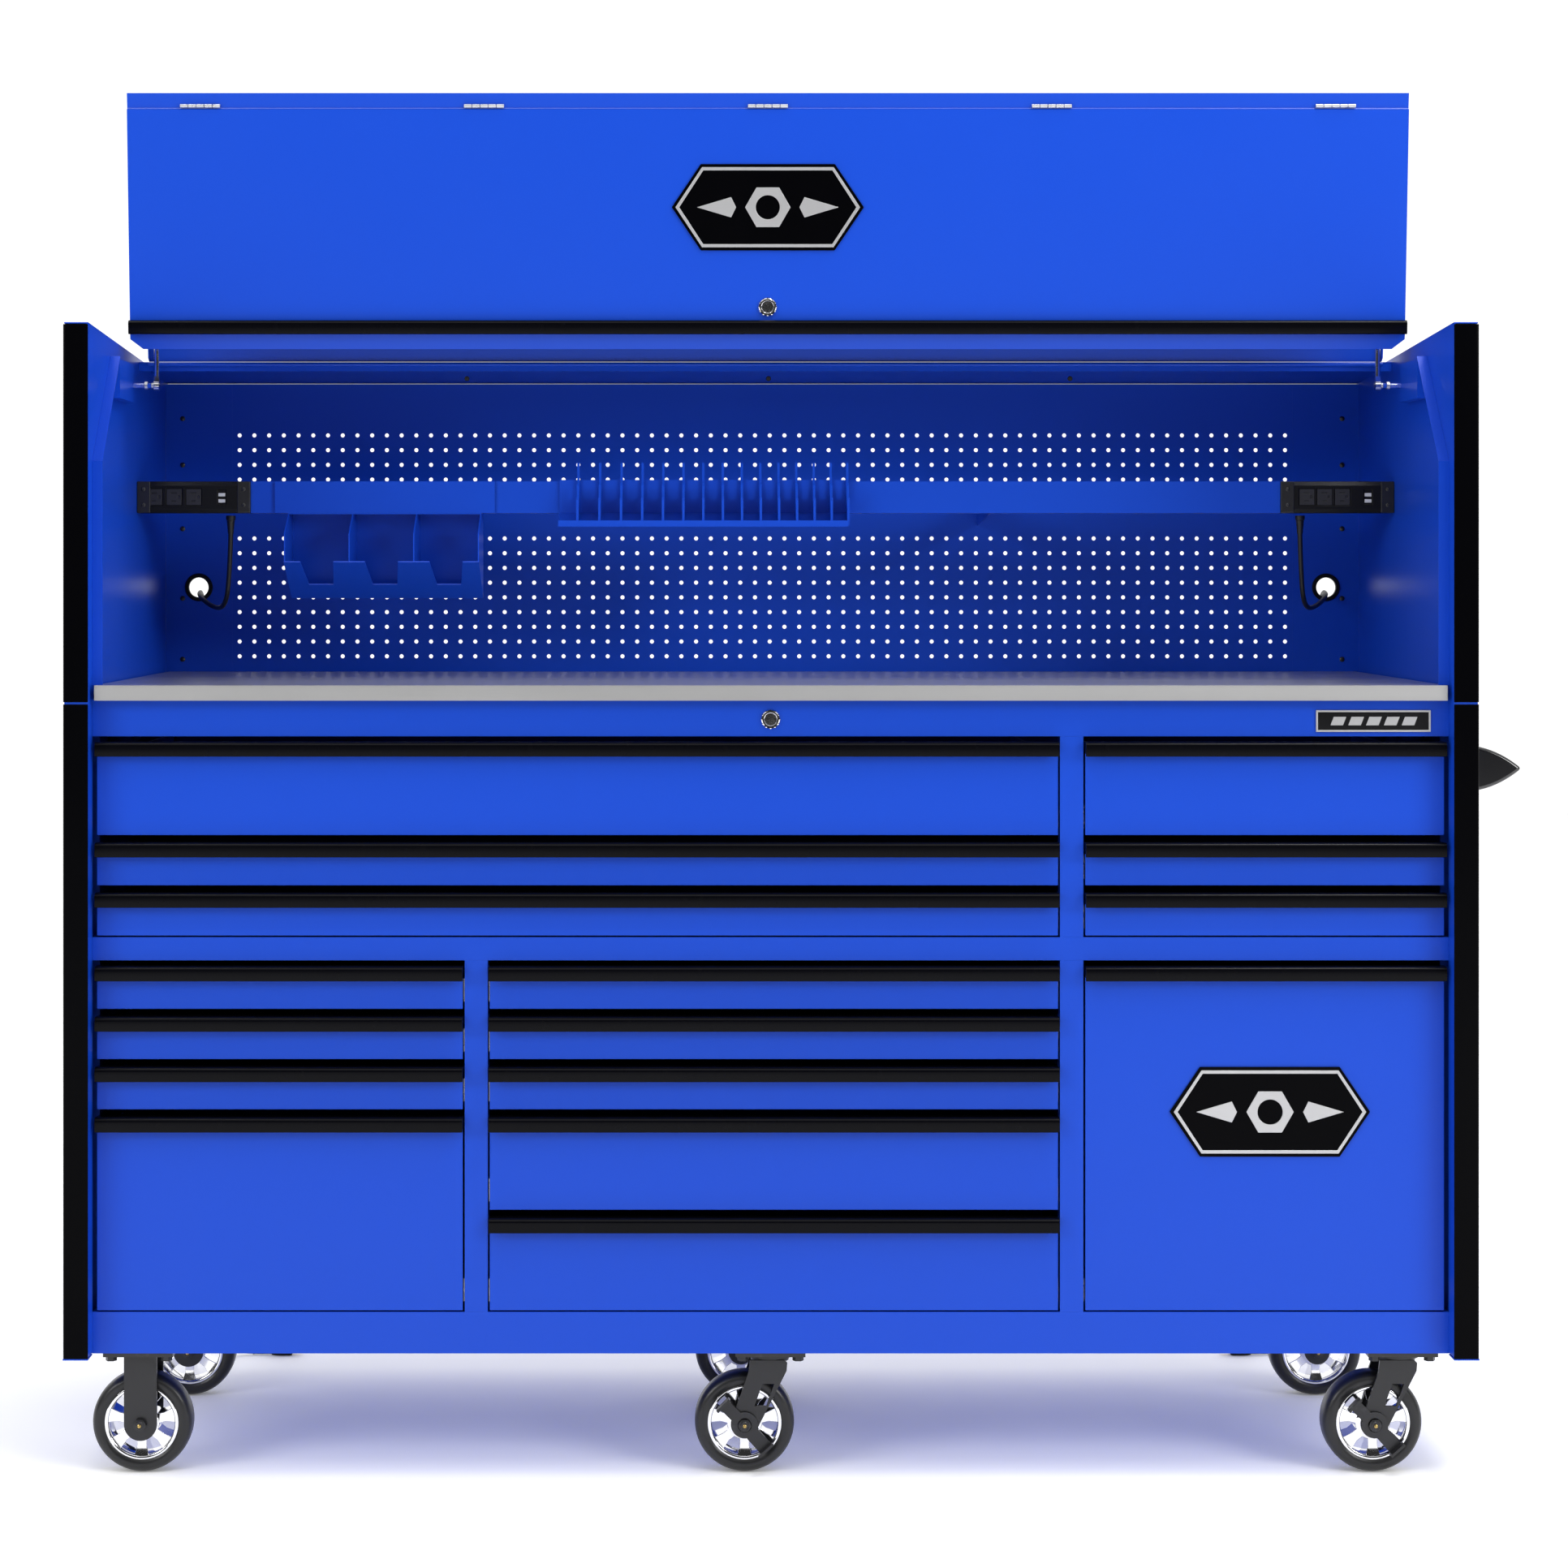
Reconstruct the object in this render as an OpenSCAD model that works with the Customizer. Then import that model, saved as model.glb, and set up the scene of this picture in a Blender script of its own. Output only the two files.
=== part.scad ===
// Rolling tool chest with a hutch, a bi-fold lid, sixteen drawers and six casters.
// X runs along the chest, Y from front to back and Z up. Z = 0 is the floor, and the
// origin is at the middle of the footprint, the side handle included.

/* [Cabinet] */
// Width over the corner posts, 84 inches
cab_w = 2133.6; // [2100:0.1:2180]
// Depth from the front of the posts to the back
cab_d = 762; // [750:1:800]
// Height of the cabinet's underside above the floor
base_z = 190; // [186:1:196]
// Width of each corner post
post_w = 38; // [34:1:40]
// Setback of the drawer fronts behind the posts
face_set = 38; // [30:1:42]
// Thickness of the steel sheet
sheet = 2; // [1.5:0.1:2.5]
// Height of the rail below the drawers
bottom_rail_h = 63; // [60:1:66]
// Height of the rail between the two drawer levels
mid_rail_h = 35; // [32:1:38]
// Height of the band above the drawers
top_band_h = 55; // [50:1:60]
// Thickness of the stainless worktop
worktop_t = 23; // [20:1:26]

/* [Drawers] */
// Height of one drawer module, three inches
module_h = 76.2; // [70:0.1:80]
// Modules in the lower level
lower_modules = 7; // [7:1:7]
// Modules in the upper level
upper_modules = 4; // [4:1:4]
// Gap beside each drawer face
side_gap = 3; // [2.5:0.5:4]
// Gap below each drawer face
bottom_gap = 2.5; // [2:0.5:3.5]
// Finger gap above each pull
top_gap = 8; // [6:0.5:9]
// Height of the full-width pull
pull_h = 18; // [16:0.5:20]
// How far a pull stands out from its drawer face
pull_out = 18; // [14:1:20]
// Depth of a drawer box
drawer_depth = 670; // [640:5:680]
// Thickness of a drawer slide on each side
slide_w = 12.7; // [12:0.1:13]

/* [Hutch] */
// Height of the hutch walls' top edge at the front
wall_front_z = 1752; // [1748:1:1756]
// Height of the hutch walls' top edge at the back
wall_back_z = 1709; // [1705:1:1715]
// Depth at which the pegboard's face lies
peg_d = 742; // [738:1:746]
// Pitch of the pegboard holes, one inch
peg_pitch = 25.4; // [25.4:0.1:25.4]
// Diameter of a pegboard hole
peg_hole_d = 7; // [6:0.1:8]
// Columns of pegboard holes
peg_columns = 72; // [72:1:72]
// Width of the flange that the lid closes against
flange_w = 16; // [12:1:20]

/* [Lid] */
// Swing of the lid's roof from open to closed
lid_swing = 78.4; // [70:0.1:80]
// Lean of the front panel when the lid is open
panel_lean = 5; // [0:0.5:7]
// Half the width of the lid
lid_half_w = 1012; // [1005:1:1012]
// Length of the front panel from its hinge to the top of its pull
panel_len = 337; // [330:1:340]

/* [Casters] */
// Wheel diameter, six inches
wheel_d = 152.4; // [150:0.1:156]
// Tread width, two inches
wheel_w = 50.8; // [48:0.1:52]
// Trail of a swivel wheel behind its kingpin
trail = 39; // [34:1:42]
// Distance of the outer kingpins from the middle of the chest
caster_x = 960; // [940:1:965]
// Depth of the front kingpins
front_caster_d = 95; // [90:1:100]
// Depth of the rear kingpins
rear_caster_d = 576; // [560:1:600]
// Diameter of an axle bolt
axle_d = 12.6; // [12:0.1:13]

/* [Side handle] */
// How far the side handle stands out from the wall
handle_reach = 96; // [80:1:110]
// Diameter of the handle's tube
handle_d = 28; // [26:1:30]

/* [Hidden] */
FIXED = [
    "cabinet_shell", "face_frame", "partitions", "slide_channels", "front_posts", "worktop",
    "hutch_shell", "hutch_posts", "hutch_top", "pegboard", "tool_rail", "bin_rack",
    "wrench_rack", "left_power_strip", "right_power_strip", "cord_grommets", "side_handle",
    "base_lock_bezel", "caster_mounts", "left_cord", "right_cord", "left_plug", "right_plug"
];
LID = [
    "lid_roof", "lid_hinges", "lid_panel", "lid_pull", "lid_lock_bezel", "lid_lock_plug",
    "strut_cylinders", "strut_rods"
];
DRAWERS = [
    "upper_left_drawer_1", "upper_left_drawer_2", "upper_left_drawer_3",
    "upper_right_drawer_1", "upper_right_drawer_2", "upper_right_drawer_3",
    "lower_left_drawer_1", "lower_left_drawer_2", "lower_left_drawer_3", "lower_left_drawer_4",
    "lower_middle_drawer_1", "lower_middle_drawer_2", "lower_middle_drawer_3",
    "lower_middle_drawer_4", "lower_middle_drawer_5", "lower_right_drawer"
];
FORKS = ["front_centre_fork", "front_right_fork", "rear_centre_fork", "rear_right_fork"];
WHEELS = [
    "front_centre_wheel", "front_right_wheel", "rear_centre_wheel", "rear_right_wheel",
    "front_left_wheel", "rear_left_wheel"
];
BRAKES = ["front_centre_brake", "front_right_brake"];

paint = "royalblue";
black = [0.07, 0.07, 0.08];
steel = [0.75, 0.76, 0.78];
fine = 64;
seam = 0.1;

half_w = cab_w / 2;
front_y = -cab_d / 2;
back_y = cab_d / 2;
cab_x = -handle_reach / 2;
inner_x = half_w - post_w;
post_t = 2;

lower_z = base_z + bottom_rail_h;
lower_top = lower_z + lower_modules * module_h;
upper_z = lower_top + mid_rail_h;
upper_top = upper_z + upper_modules * module_h;
cab_top = upper_top + top_band_h;
work_z = cab_top + worktop_t;

// The drawer sections' sides, from the middle of the chest.
edge_x = inner_x - 4;
divider_1 = [-464, -429];
divider_2 = [439, 474.5];
wall_slope = (wall_back_z - wall_front_z) / cab_d;
wheel_r = wheel_d / 2;

base_lock_z = upper_top + 26;
lock_proud = 5;
lock_hole_d = 26;

// The Y of a depth behind the front of the posts.
function at_d(d) = front_y + d;
function wall_top(d) = wall_front_z + d * wall_slope;

// A block between two opposite corners. Neighbouring plates stay a seam apart.
module block(x0, x1, y0, y1, z0, z1) {
    inset = seam / 2;
    translate([x0 + inset, y0 + inset, z0 + inset])
        cube([x1 - x0 - seam, y1 - y0 - seam, z1 - z0 - seam]);
}

// A prism along X over an outline of [depth, height] points.
module side_prism(x0, x1, outline) {
    translate([x0 + seam / 2, front_y, 0])
        rotate([90, 0, 90])
            linear_extrude(x1 - x0 - seam)
                polygon(outline);
}

module both_sides() {
    children();
    mirror([1, 0, 0]) children();
}

// Shifts a part from the chest's own middle to the origin.
module chest() {
    translate([cab_x, 0, 0]) children();
}

module rod_x(x0, x1, y, z, d) {
    translate([x0, y, z]) rotate([0, 90, 0]) cylinder(h = x1 - x0, d = d, $fn = fine);
}

module rod_y(x, y0, y1, z, d) {
    translate([x, y0, z]) rotate([-90, 0, 0]) cylinder(h = y1 - y0, d = d, $fn = fine);
}

// ---------------------------------------------------------------- lower cabinet

module cabinet_shell() {
    lap = 2;
    color(paint) chest() {
        both_sides() {
            block(half_w - sheet, half_w, at_d(face_set), back_y, base_z, cab_top);
            block(
                half_w - post_t - sheet, half_w - post_t,
                at_d(post_t), at_d(face_set), base_z + lap, cab_top
            );
            block(inner_x, half_w, front_y, at_d(face_set), base_z - lap, base_z);
        }
        block(-half_w + sheet, half_w - sheet, back_y - sheet, back_y, base_z, cab_top);
        block(
            -half_w + sheet, half_w - sheet,
            at_d(face_set + sheet), back_y - sheet, base_z, base_z + sheet
        );
    }
}

module face_frame() {
    y0 = at_d(face_set);
    y1 = y0 + sheet;
    lip = 22;
    z0 = base_z + sheet;
    color(paint) chest() {
        both_sides() {
            block(inner_x, inner_x + sheet, at_d(post_t), y1, z0, cab_top);
            block(
                inner_x + sheet, half_w - post_t - sheet,
                at_d(post_t), at_d(post_t) + sheet, z0, cab_top
            );
        }
        block(-inner_x, inner_x, y0, y1, base_z, lower_z);
        block(-inner_x, inner_x, y1, y1 + lip, lower_z - sheet, lower_z);
        block(-inner_x, inner_x, y0, y1, lower_top, upper_z);
        block(-inner_x, inner_x, y1, y1 + lip, lower_top, lower_top + sheet);
        block(-inner_x, inner_x, y1, y1 + lip, upper_z - sheet, upper_z);
        difference() {
            block(-inner_x, inner_x, y0, y1, upper_top, cab_top);
            rod_y(0, y0 - 1, y1 + 1, base_lock_z, lock_hole_d);
        }
        block(-inner_x, inner_x, y1, y1 + lip, upper_top, upper_top + sheet);
        block(divider_1[0], divider_1[1], y0, y1, lower_z, lower_top);
        block(divider_2[0], divider_2[1], y0, y1, lower_z, lower_top);
        block(divider_2[0], divider_2[1], y0, y1, upper_z, upper_top);
    }
}

module partitions() {
    y0 = at_d(face_set) + 26;
    y1 = back_y - sheet;
    z0 = base_z + sheet;
    upright_w = 30;
    color(paint) chest() {
        for (d = [divider_1, divider_2])
            for (x = [d[0], d[1] - sheet])
                block(x, x + sheet, y0, y1, z0, lower_top);
        for (x = [divider_2[0], divider_2[1] - sheet])
            block(x, x + sheet, y0, y1, lower_top + sheet, cab_top);
        both_sides()
            for (d = [80, 380, 700])
                block(edge_x, half_w - sheet, at_d(d), at_d(d) + upright_w, z0, cab_top);
    }
}

// Each drawer slot is [left, right, bottom, top].
function stack(x0, x1, z0, counts, i = 0) =
    i >= len(counts) ? [] :
    concat(
        stack(x0, x1, z0 + counts[i] * module_h, counts, i + 1),
        [[x0, x1, z0, z0 + counts[i] * module_h]]
    );

SLOTS = concat(
    stack(-edge_x, divider_2[0], upper_z, [1, 1, 2]),
    stack(divider_2[1], edge_x, upper_z, [1, 1, 2]),
    stack(-edge_x, divider_1[0], lower_z, [4, 1, 1, 1]),
    stack(divider_1[1], divider_2[0], lower_z, [2, 2, 1, 1, 1]),
    stack(divider_2[1], edge_x, lower_z, [7])
);

slide_h = 35;
slide_z = 8;
slide_d0 = face_set + 26;

module slide_channels() {
    channel_t = 5;
    color(steel) chest()
        for (s = SLOTS) {
            z = s[2] + bottom_gap + slide_z;
            y0 = at_d(slide_d0);
            y1 = at_d(slide_d0 + drawer_depth - 30);
            block(s[0], s[0] + channel_t, y0, y1, z, z + slide_h);
            block(s[1] - channel_t, s[1], y0, y1, z, z + slide_h);
        }
}

module drawer(s) {
    wall_t = 1.2;
    face_y = at_d(face_set);
    box_y = face_y + 16;
    rail_t = 6.5;
    x0 = s[0] + side_gap;
    x1 = s[1] - side_gap;
    bx0 = s[0] + slide_w;
    bx1 = s[1] - slide_w;
    z0 = s[2] + bottom_gap;
    pull_z = s[3] - top_gap - pull_h;
    box_z1 = pull_z - 2;
    rail_z = s[2] + bottom_gap + slide_z;
    back = box_y + drawer_depth;
    color(paint) chest() {
        block(x0, x1, face_y, face_y + sheet, z0, pull_z);
        block(x0, x1, face_y + sheet, box_y, z0, z0 + sheet);
        block(bx0, bx1, box_y, box_y + sheet, z0, pull_z);
        block(bx0, bx0 + wall_t, box_y + sheet, back, z0 + wall_t, box_z1);
        block(bx1 - wall_t, bx1, box_y + sheet, back, z0 + wall_t, box_z1);
        block(bx0, bx1, box_y + sheet, back, z0, z0 + wall_t);
        block(bx0 + wall_t, bx1 - wall_t, back - wall_t, back, z0 + wall_t, box_z1);
    }
    color(steel) chest() {
        y0 = at_d(slide_d0);
        y1 = y0 + drawer_depth - 30;
        block(bx0 - rail_t, bx0, y0, y1, rail_z + 3, rail_z + slide_h - 3);
        block(bx1, bx1 + rail_t, y0, y1, rail_z + 3, rail_z + slide_h - 3);
    }
    color(black) chest()
        {
            lip_d = face_set - pull_out;
            side_prism(x0 - 1, x1 + 1, [
                [lip_d, pull_z - 4], [lip_d + 3, pull_z - 4],
                [lip_d + 3, pull_z - seam], [lip_d, pull_z - seam]
            ]);
            side_prism(x0 - 1, x1 + 1, [
                [lip_d, pull_z], [face_set + 18, pull_z],
                [face_set + 18, pull_z + pull_h], [lip_d + 6, pull_z + pull_h],
                [lip_d, pull_z + pull_h - 6]
            ]);
        }
}

// A corner post: a front face and a side face around the cabinet's front corner.
module corner_post(z0, z1) {
    block(inner_x, half_w, front_y, front_y + post_t, z0, z1);
    block(half_w - post_t, half_w, front_y + post_t, at_d(face_set), z0, z1);
}

module front_posts() {
    split = 5;
    color(black) chest()
        both_sides() corner_post(base_z, cab_top - split);
}

module worktop() {
    x = inner_x - 6.8;
    y0 = at_d(14);
    y1 = at_d(peg_d);
    hem = 12;
    color(steel) chest() {
        block(-x, x, y0, y1, work_z - sheet, work_z);
        block(-x, x, y0, y0 + sheet, cab_top, work_z - sheet);
        block(-x, x, y0 + sheet, y0 + hem, cab_top, cab_top + sheet);
        both_sides() block(x - sheet, x, y0 + hem, y1, cab_top, work_z - sheet);
    }
}

module lock_bezel(z, y, proud) {
    difference() {
        union() {
            rod_y(0, y - proud, y, z, 31);
            rod_y(0, y, y + 14, z, lock_hole_d - 0.2);
        }
        rod_y(0, y - proud - 1, y + 12, z, 18.2);
    }
}

module lock_plug(z, y, proud) {
    difference() {
        rod_y(0, y - proud + 1, y + 11.5, z, 18);
        block(-0.8, 0.8, y - proud, y - proud + 6, z - 4.5, z + 4.5);
    }
}

module base_lock_bezel() {
    color(steel) chest() lock_bezel(base_lock_z, at_d(face_set), lock_proud);
}

module base_lock_plug() {
    color(steel) chest() lock_plug(base_lock_z, at_d(face_set), lock_proud);
}

// The side handle's end brackets taper to a point away from the wall.
module side_handle() {
    tube_x = half_w + 0.75 * handle_reach;
    tube_z = 1072;
    root_h = 73;
    end_t = 14;
    ends = [130, 620];
    steps = 12;
    upper = [
        for (i = [0 : steps - 1])
            let (t = i / steps)
                [half_w + handle_reach * t, root_h / 2 * (1 - pow(t, 2.2))]
    ];
    lower = [for (i = [steps - 1 : -1 : 0]) [upper[i][0], -upper[i][1]]];
    color(black) chest() {
        rod_y(tube_x, at_d(ends[0]) + end_t, at_d(ends[1]), tube_z, handle_d);
        for (d = ends)
            translate([0, at_d(d) + end_t, tube_z])
                rotate([90, 0, 0])
                    linear_extrude(end_t)
                        polygon(concat(upper, [[half_w + handle_reach, 0]], lower));
    }
}

// ------------------------------------------------------------------------ hutch

flange_d = 36;
flange_bend_z = 1544;
flange_top = [193, 1713];
strut_box = [190, 322, 1647, 1708];
strut_foot = [311, 1673];
strut_x = 975;
strut_box_x = lid_half_w + 1;
peg_half = 914.4;
grommet_x = 972;
grommet_z = 1349;

module hutch_wall() {
    y_skin = face_set;
    cap_z = -sheet + seam;
    side_prism(inner_x, inner_x + sheet, [
        [post_t, cab_top], [cab_d, cab_top],
        [cab_d, wall_top(cab_d) - sheet], [post_t, wall_top(post_t) - sheet]
    ]);
    side_prism(half_w - sheet, half_w, [
        [y_skin, cab_top], [cab_d, cab_top],
        [cab_d, wall_top(cab_d) - sheet], [y_skin, wall_top(y_skin) - sheet]
    ]);
    side_prism(inner_x, half_w - post_t, [
        [post_t, wall_top(post_t) + cap_z], [y_skin - seam, wall_top(y_skin) + cap_z],
        [y_skin - seam, wall_top(y_skin)], [post_t, wall_top(post_t)]
    ]);
    side_prism(inner_x, half_w, [
        [y_skin, wall_top(y_skin) + cap_z], [cab_d, wall_top(cab_d) + cap_z],
        [cab_d, wall_top(cab_d)], [y_skin, wall_top(y_skin)]
    ]);
    block(inner_x + sheet, half_w - sheet, back_y - sheet, back_y, cab_top, wall_back_z - 4);
    block(
        inner_x + sheet, half_w - post_t - sheet,
        at_d(post_t), at_d(post_t) + sheet, cab_top, wall_front_z - 6
    );
    block(
        half_w - post_t - sheet, half_w - post_t,
        at_d(post_t), at_d(y_skin), cab_top, wall_front_z - 6
    );
}

// The flange that the closed lid meets, upright below and leaning back above.
module lid_flange() {
    x0 = inner_x - flange_w;
    side_prism(x0, inner_x, [
        [flange_d, work_z], [flange_d + sheet, work_z],
        [flange_d + sheet, flange_bend_z - seam], [flange_d, flange_bend_z - seam]
    ]);
    side_prism(x0, inner_x, [
        [flange_d, flange_bend_z], [flange_d + sheet * 1.4, flange_bend_z],
        [flange_top[0] + sheet * 1.4, flange_top[1]], flange_top
    ]);
}

module hutch_shell() {
    stud_d = 8;
    y0 = at_d(peg_d);
    color(paint) chest() {
        both_sides() {
            hutch_wall();
            lid_flange();
            block(
                strut_box_x, inner_x,
                at_d(strut_box[0]), at_d(strut_box[1]), strut_box[2], strut_box[3]
            );
            difference() {
                block(peg_half, inner_x, y0, y0 + sheet, cab_top, wall_back_z - 10);
                rod_y(grommet_x, y0 - 1, y0 + sheet + 1, grommet_z, 44);
            }
        }
    }
    color(steel) chest()
        both_sides()
            rod_x(strut_x + 4.5, strut_box_x, at_d(strut_foot[0]), strut_foot[1], stud_d);
}

module hutch_posts() {
    split = 2;
    cap = 3;
    color(black) chest()
        both_sides() corner_post(cab_top - split, wall_front_z - cap);
}

module hutch_top() {
    d0 = lid_hinge[0] + 5;
    drop = 15;
    z0 = wall_top(d0) - 6;
    z1 = wall_top(cab_d) - 6;
    color(paint) chest() {
        side_prism(-inner_x, inner_x, [
            [d0, z0 - sheet], [cab_d, z1 - sheet], [cab_d, z1], [d0, z0]
        ]);
        block(-inner_x, inner_x, at_d(d0), at_d(d0) + sheet, z0 - drop, z0 - sheet - 0.3);
        block(-inner_x, inner_x, back_y - sheet, back_y, z1 - 60, z1 - sheet - 0.3);
        rod_x(-lid_half_w, lid_half_w, at_d(lid_hinge[0]), lid_hinge[1], 7);
    }
}

module pegboard() {
    z0 = cab_top;
    z1 = wall_back_z - 10;
    top_row = 1611.2;
    rows_above = 4;
    rows_below = 9;
    gap_rows = 3;
    skipped = rows_above + gap_rows;
    rows = concat(
        [for (i = [0 : rows_above - 1]) i],
        [for (i = [0 : rows_below - 1]) skipped + i]
    );
    color(paint) chest()
        translate([0, at_d(peg_d) + sheet, 0])
            rotate([90, 0, 0])
                linear_extrude(sheet)
                    difference() {
                        translate([-peg_half, z0]) square([2 * peg_half, z1 - z0]);
                        for (r = rows)
                            for (c = [0 : peg_columns - 1])
                                translate([
                                    (c - (peg_columns - 1) / 2) * peg_pitch,
                                    top_row - r * peg_pitch
                                ])
                                    circle(d = peg_hole_d, $fn = 16);
                    }
}

module cord_grommets() {
    y0 = at_d(peg_d);
    rim = 4;
    color(black) chest()
        both_sides()
            difference() {
                union() {
                    rod_y(grommet_x, y0 - rim, y0, grommet_z, 48);
                    rod_y(grommet_x, y0, y0 + sheet, grommet_z, 44);
                    rod_y(grommet_x, y0 + sheet, y0 + sheet + rim, grommet_z, 48);
                }
                rod_y(grommet_x, y0 - rim - 1, y0 + sheet + rim + 1, grommet_z, 34);
            }
}

// ------------------------------------------------------ rail, racks and sockets

rail_d = 445;
rail_z = [1472, 1524];
rail_depth = 40;
strip_len = 186;
strip_x = inner_x - strip_len;

module tool_rail() {
    x = strip_x;
    y0 = at_d(rail_d);
    brace_x = [-620, 370];
    color(paint) chest() {
        block(-x, x, y0, y0 + sheet, rail_z[0], rail_z[1]);
        block(-x, x, y0 + sheet, y0 + rail_depth, rail_z[0], rail_z[0] + sheet);
        block(-x, x, y0 + sheet, y0 + rail_depth, rail_z[1] - sheet, rail_z[1]);
        for (b = brace_x)
            side_prism(b, b + sheet, [
                [rail_d + rail_depth, rail_z[0]], [peg_d, rail_z[0] - 16],
                [peg_d, rail_z[0] + 24], [rail_d + rail_depth, rail_z[0] + 24]
            ]);
    }
}

bin_x = [-803, -443];
bin_inset = 22;
bin_front_d = rail_d - 63;
bin_top_z = rail_z[0] - 35;
bin_lip_z = rail_z[0] - 79;
bin_foot = [rail_d + 44, rail_z[0] - 138];

module bin_rack() {
    x0 = bin_x[0] + bin_inset;
    x1 = bin_x[1] - bin_inset;
    bins = 3;
    step = (x1 - x0 - sheet) / bins;
    back_d = bin_foot[0];
    head_d = rail_d - 5;
    scoop_top = 54;
    scoop_foot = 40;
    slope = atan2(bin_lip_z - bin_foot[1], bin_foot[0] - bin_front_d);
    lip_len = norm([bin_foot[0] - bin_front_d, bin_lip_z - bin_foot[1]]);
    color(paint) chest() {
        block(bin_x[0], bin_x[1], at_d(head_d), at_d(head_d) + sheet, rail_z[0], rail_z[1]);
        block(x0, x1, at_d(head_d), at_d(back_d), rail_z[0] - sheet, rail_z[0]);
        block(x0, x1, at_d(back_d), at_d(back_d) + sheet, bin_foot[1], rail_z[0]);
        for (i = [0 : bins])
            side_prism(x0 + i * step, x0 + i * step + sheet, [
                [bin_front_d, bin_lip_z], [back_d, bin_foot[1]],
                [back_d, rail_z[0] - sheet], [head_d, rail_z[0] - sheet],
                [bin_front_d, bin_top_z]
            ]);
        translate([0, at_d(bin_front_d), bin_lip_z])
            rotate([-slope, 0, 0])
                translate([0, 0, -sheet])
                    linear_extrude(sheet)
                        difference() {
                            translate([x0, 0]) square([x1 - x0, lip_len]);
                            for (i = [0 : bins - 1])
                                translate([x0 + (i + 0.5) * step + 1, 0])
                                    polygon([
                                        [-scoop_top / 2, -1], [scoop_top / 2, -1],
                                        [scoop_foot / 2, lip_len * 0.62],
                                        [-scoop_foot / 2, lip_len * 0.62]
                                    ]);
                        }
    }
}

wrench_x = [-337, 133];
fin_count = 15;

// The fins stand closer together towards the right.
function fin_x(i) = wrench_x[0] + 29 + 36 * i - 0.33 * i * i;

module wrench_rack() {
    head_d = rail_d - 5;
    lip_d = rail_d - 58;
    z0 = rail_z[0] - 22;
    fin_t = 4;
    color(paint) chest() {
        block(
            wrench_x[0], wrench_x[1], at_d(head_d), at_d(head_d) + sheet,
            rail_z[0] - 2, rail_z[1] + 2
        );
        side_prism(wrench_x[0], wrench_x[1], [
            [lip_d, z0], [head_d, rail_z[0] - 2], [head_d, rail_z[0]], [lip_d, z0 + 2]
        ]);
        block(wrench_x[0], wrench_x[1], at_d(lip_d) - 2, at_d(lip_d), z0 - 1, z0 + 9);
        for (i = [0 : fin_count - 1])
            side_prism(fin_x(i), fin_x(i) + fin_t, [
                [lip_d, z0 + 2.2], [lip_d, z0 + 42], [lip_d + 3, z0 + 46], [lip_d + 7, z0 + 42],
                [lip_d + 12, z0 + 30], [lip_d + 22, z0 + 34], [lip_d + 26, z0 + 66],
                [lip_d + 29, z0 + 70], [lip_d + 32, z0 + 66], [lip_d + 37, z0 + 44],
                [head_d - 7, z0 + 50], [head_d - 5, z0 + 104], [head_d, z0 + 104],
                [head_d, rail_z[0] + 0.2]
            ]);
    }
}

// A socket strip between a hutch wall and the end of the rail. side is -1 or 1.
module power_strip(side) {
    y0 = at_d(rail_d - 4);
    depth = 44;
    x0 = side > 0 ? strip_x : -inner_x;
    x1 = x0 + strip_len;
    gland_x = side * 878;
    sockets = side > 0 ? [886, 915, 944] : [-1000, -968, -936];
    color(black) chest() {
        block(x0, x1, y0, y0 + depth, rail_z[0], rail_z[1]);
        for (x = sockets)
            block(x - 13.5, x + 13.5, y0 - 1.5, y0, rail_z[0] + 12, rail_z[0] + 40);
        translate([gland_x, y0 + depth / 2, rail_z[0] - 8])
            cylinder(h = 8, d = 16, $fn = fine);
    }
}

module left_power_strip() {
    power_strip(-1);
}

module right_power_strip() {
    power_strip(1);
}

// ------------------------------------------------------------------------- cords

cord_d = 8;
strip_y = at_d(rail_d - 4) + 22;
gland_z = rail_z[0] - 8;

// A route runs from the gland through the grommet and down behind the chest to the floor.
CORD_LEFT = [
    [-878, strip_y, gland_z], [-878, strip_y, 1440], [-880, 88, 1405], [-883, 96, 1370],
    [-888, 112, 1340], [-897, 138, 1322], [-910, 172, 1316], [-926, 210, 1318],
    [-942, 250, 1324], [-956, 290, 1331], [-966, 330, 1337], [-970, 362, 1340],
    [-972, 385, 1339], [-972, 405, 1328], [-972, 416, 1305], [-972, 418, 1270],
    [-972, 418, 1100], [-971, 418, 900], [-970, 418, 700], [-969, 418, 500],
    [-968, 418, 300], [-966, 419, 160], [-962, 424, 90], [-952, 440, 40], [-932, 458, 14],
    [-900, 470, 6], [-860, 474, 4.5]
];
CORD_RIGHT = [
    [878, strip_y, gland_z], [878, strip_y, 1440], [880, 88, 1405], [883, 96, 1370],
    [888, 112, 1340], [897, 138, 1322], [910, 172, 1316], [926, 210, 1318],
    [942, 250, 1324], [956, 290, 1331], [966, 330, 1337], [970, 362, 1340],
    [972, 385, 1339], [972, 405, 1328], [972, 416, 1305], [972, 418, 1270],
    [972, 418, 1100], [971, 418, 900], [970, 418, 700], [969, 418, 500],
    [968, 418, 300], [966, 419, 160], [962, 424, 90], [952, 440, 40], [932, 458, 14],
    [900, 470, 6], [860, 474, 4.5]
];

// A point on the smooth curve through a route, t of the way from point i to the next.
function curve_at(p, i, t) =
    let (
        a = p[max(i - 1, 0)],
        b = p[i],
        c = p[i + 1],
        d = p[min(i + 2, len(p) - 1)]
    )
    0.5 * (
        2 * b + (c - a) * t + (2 * a - 5 * b + 4 * c - d) * t * t
        + (3 * b - a - 3 * c + d) * t * t * t
    );

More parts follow.
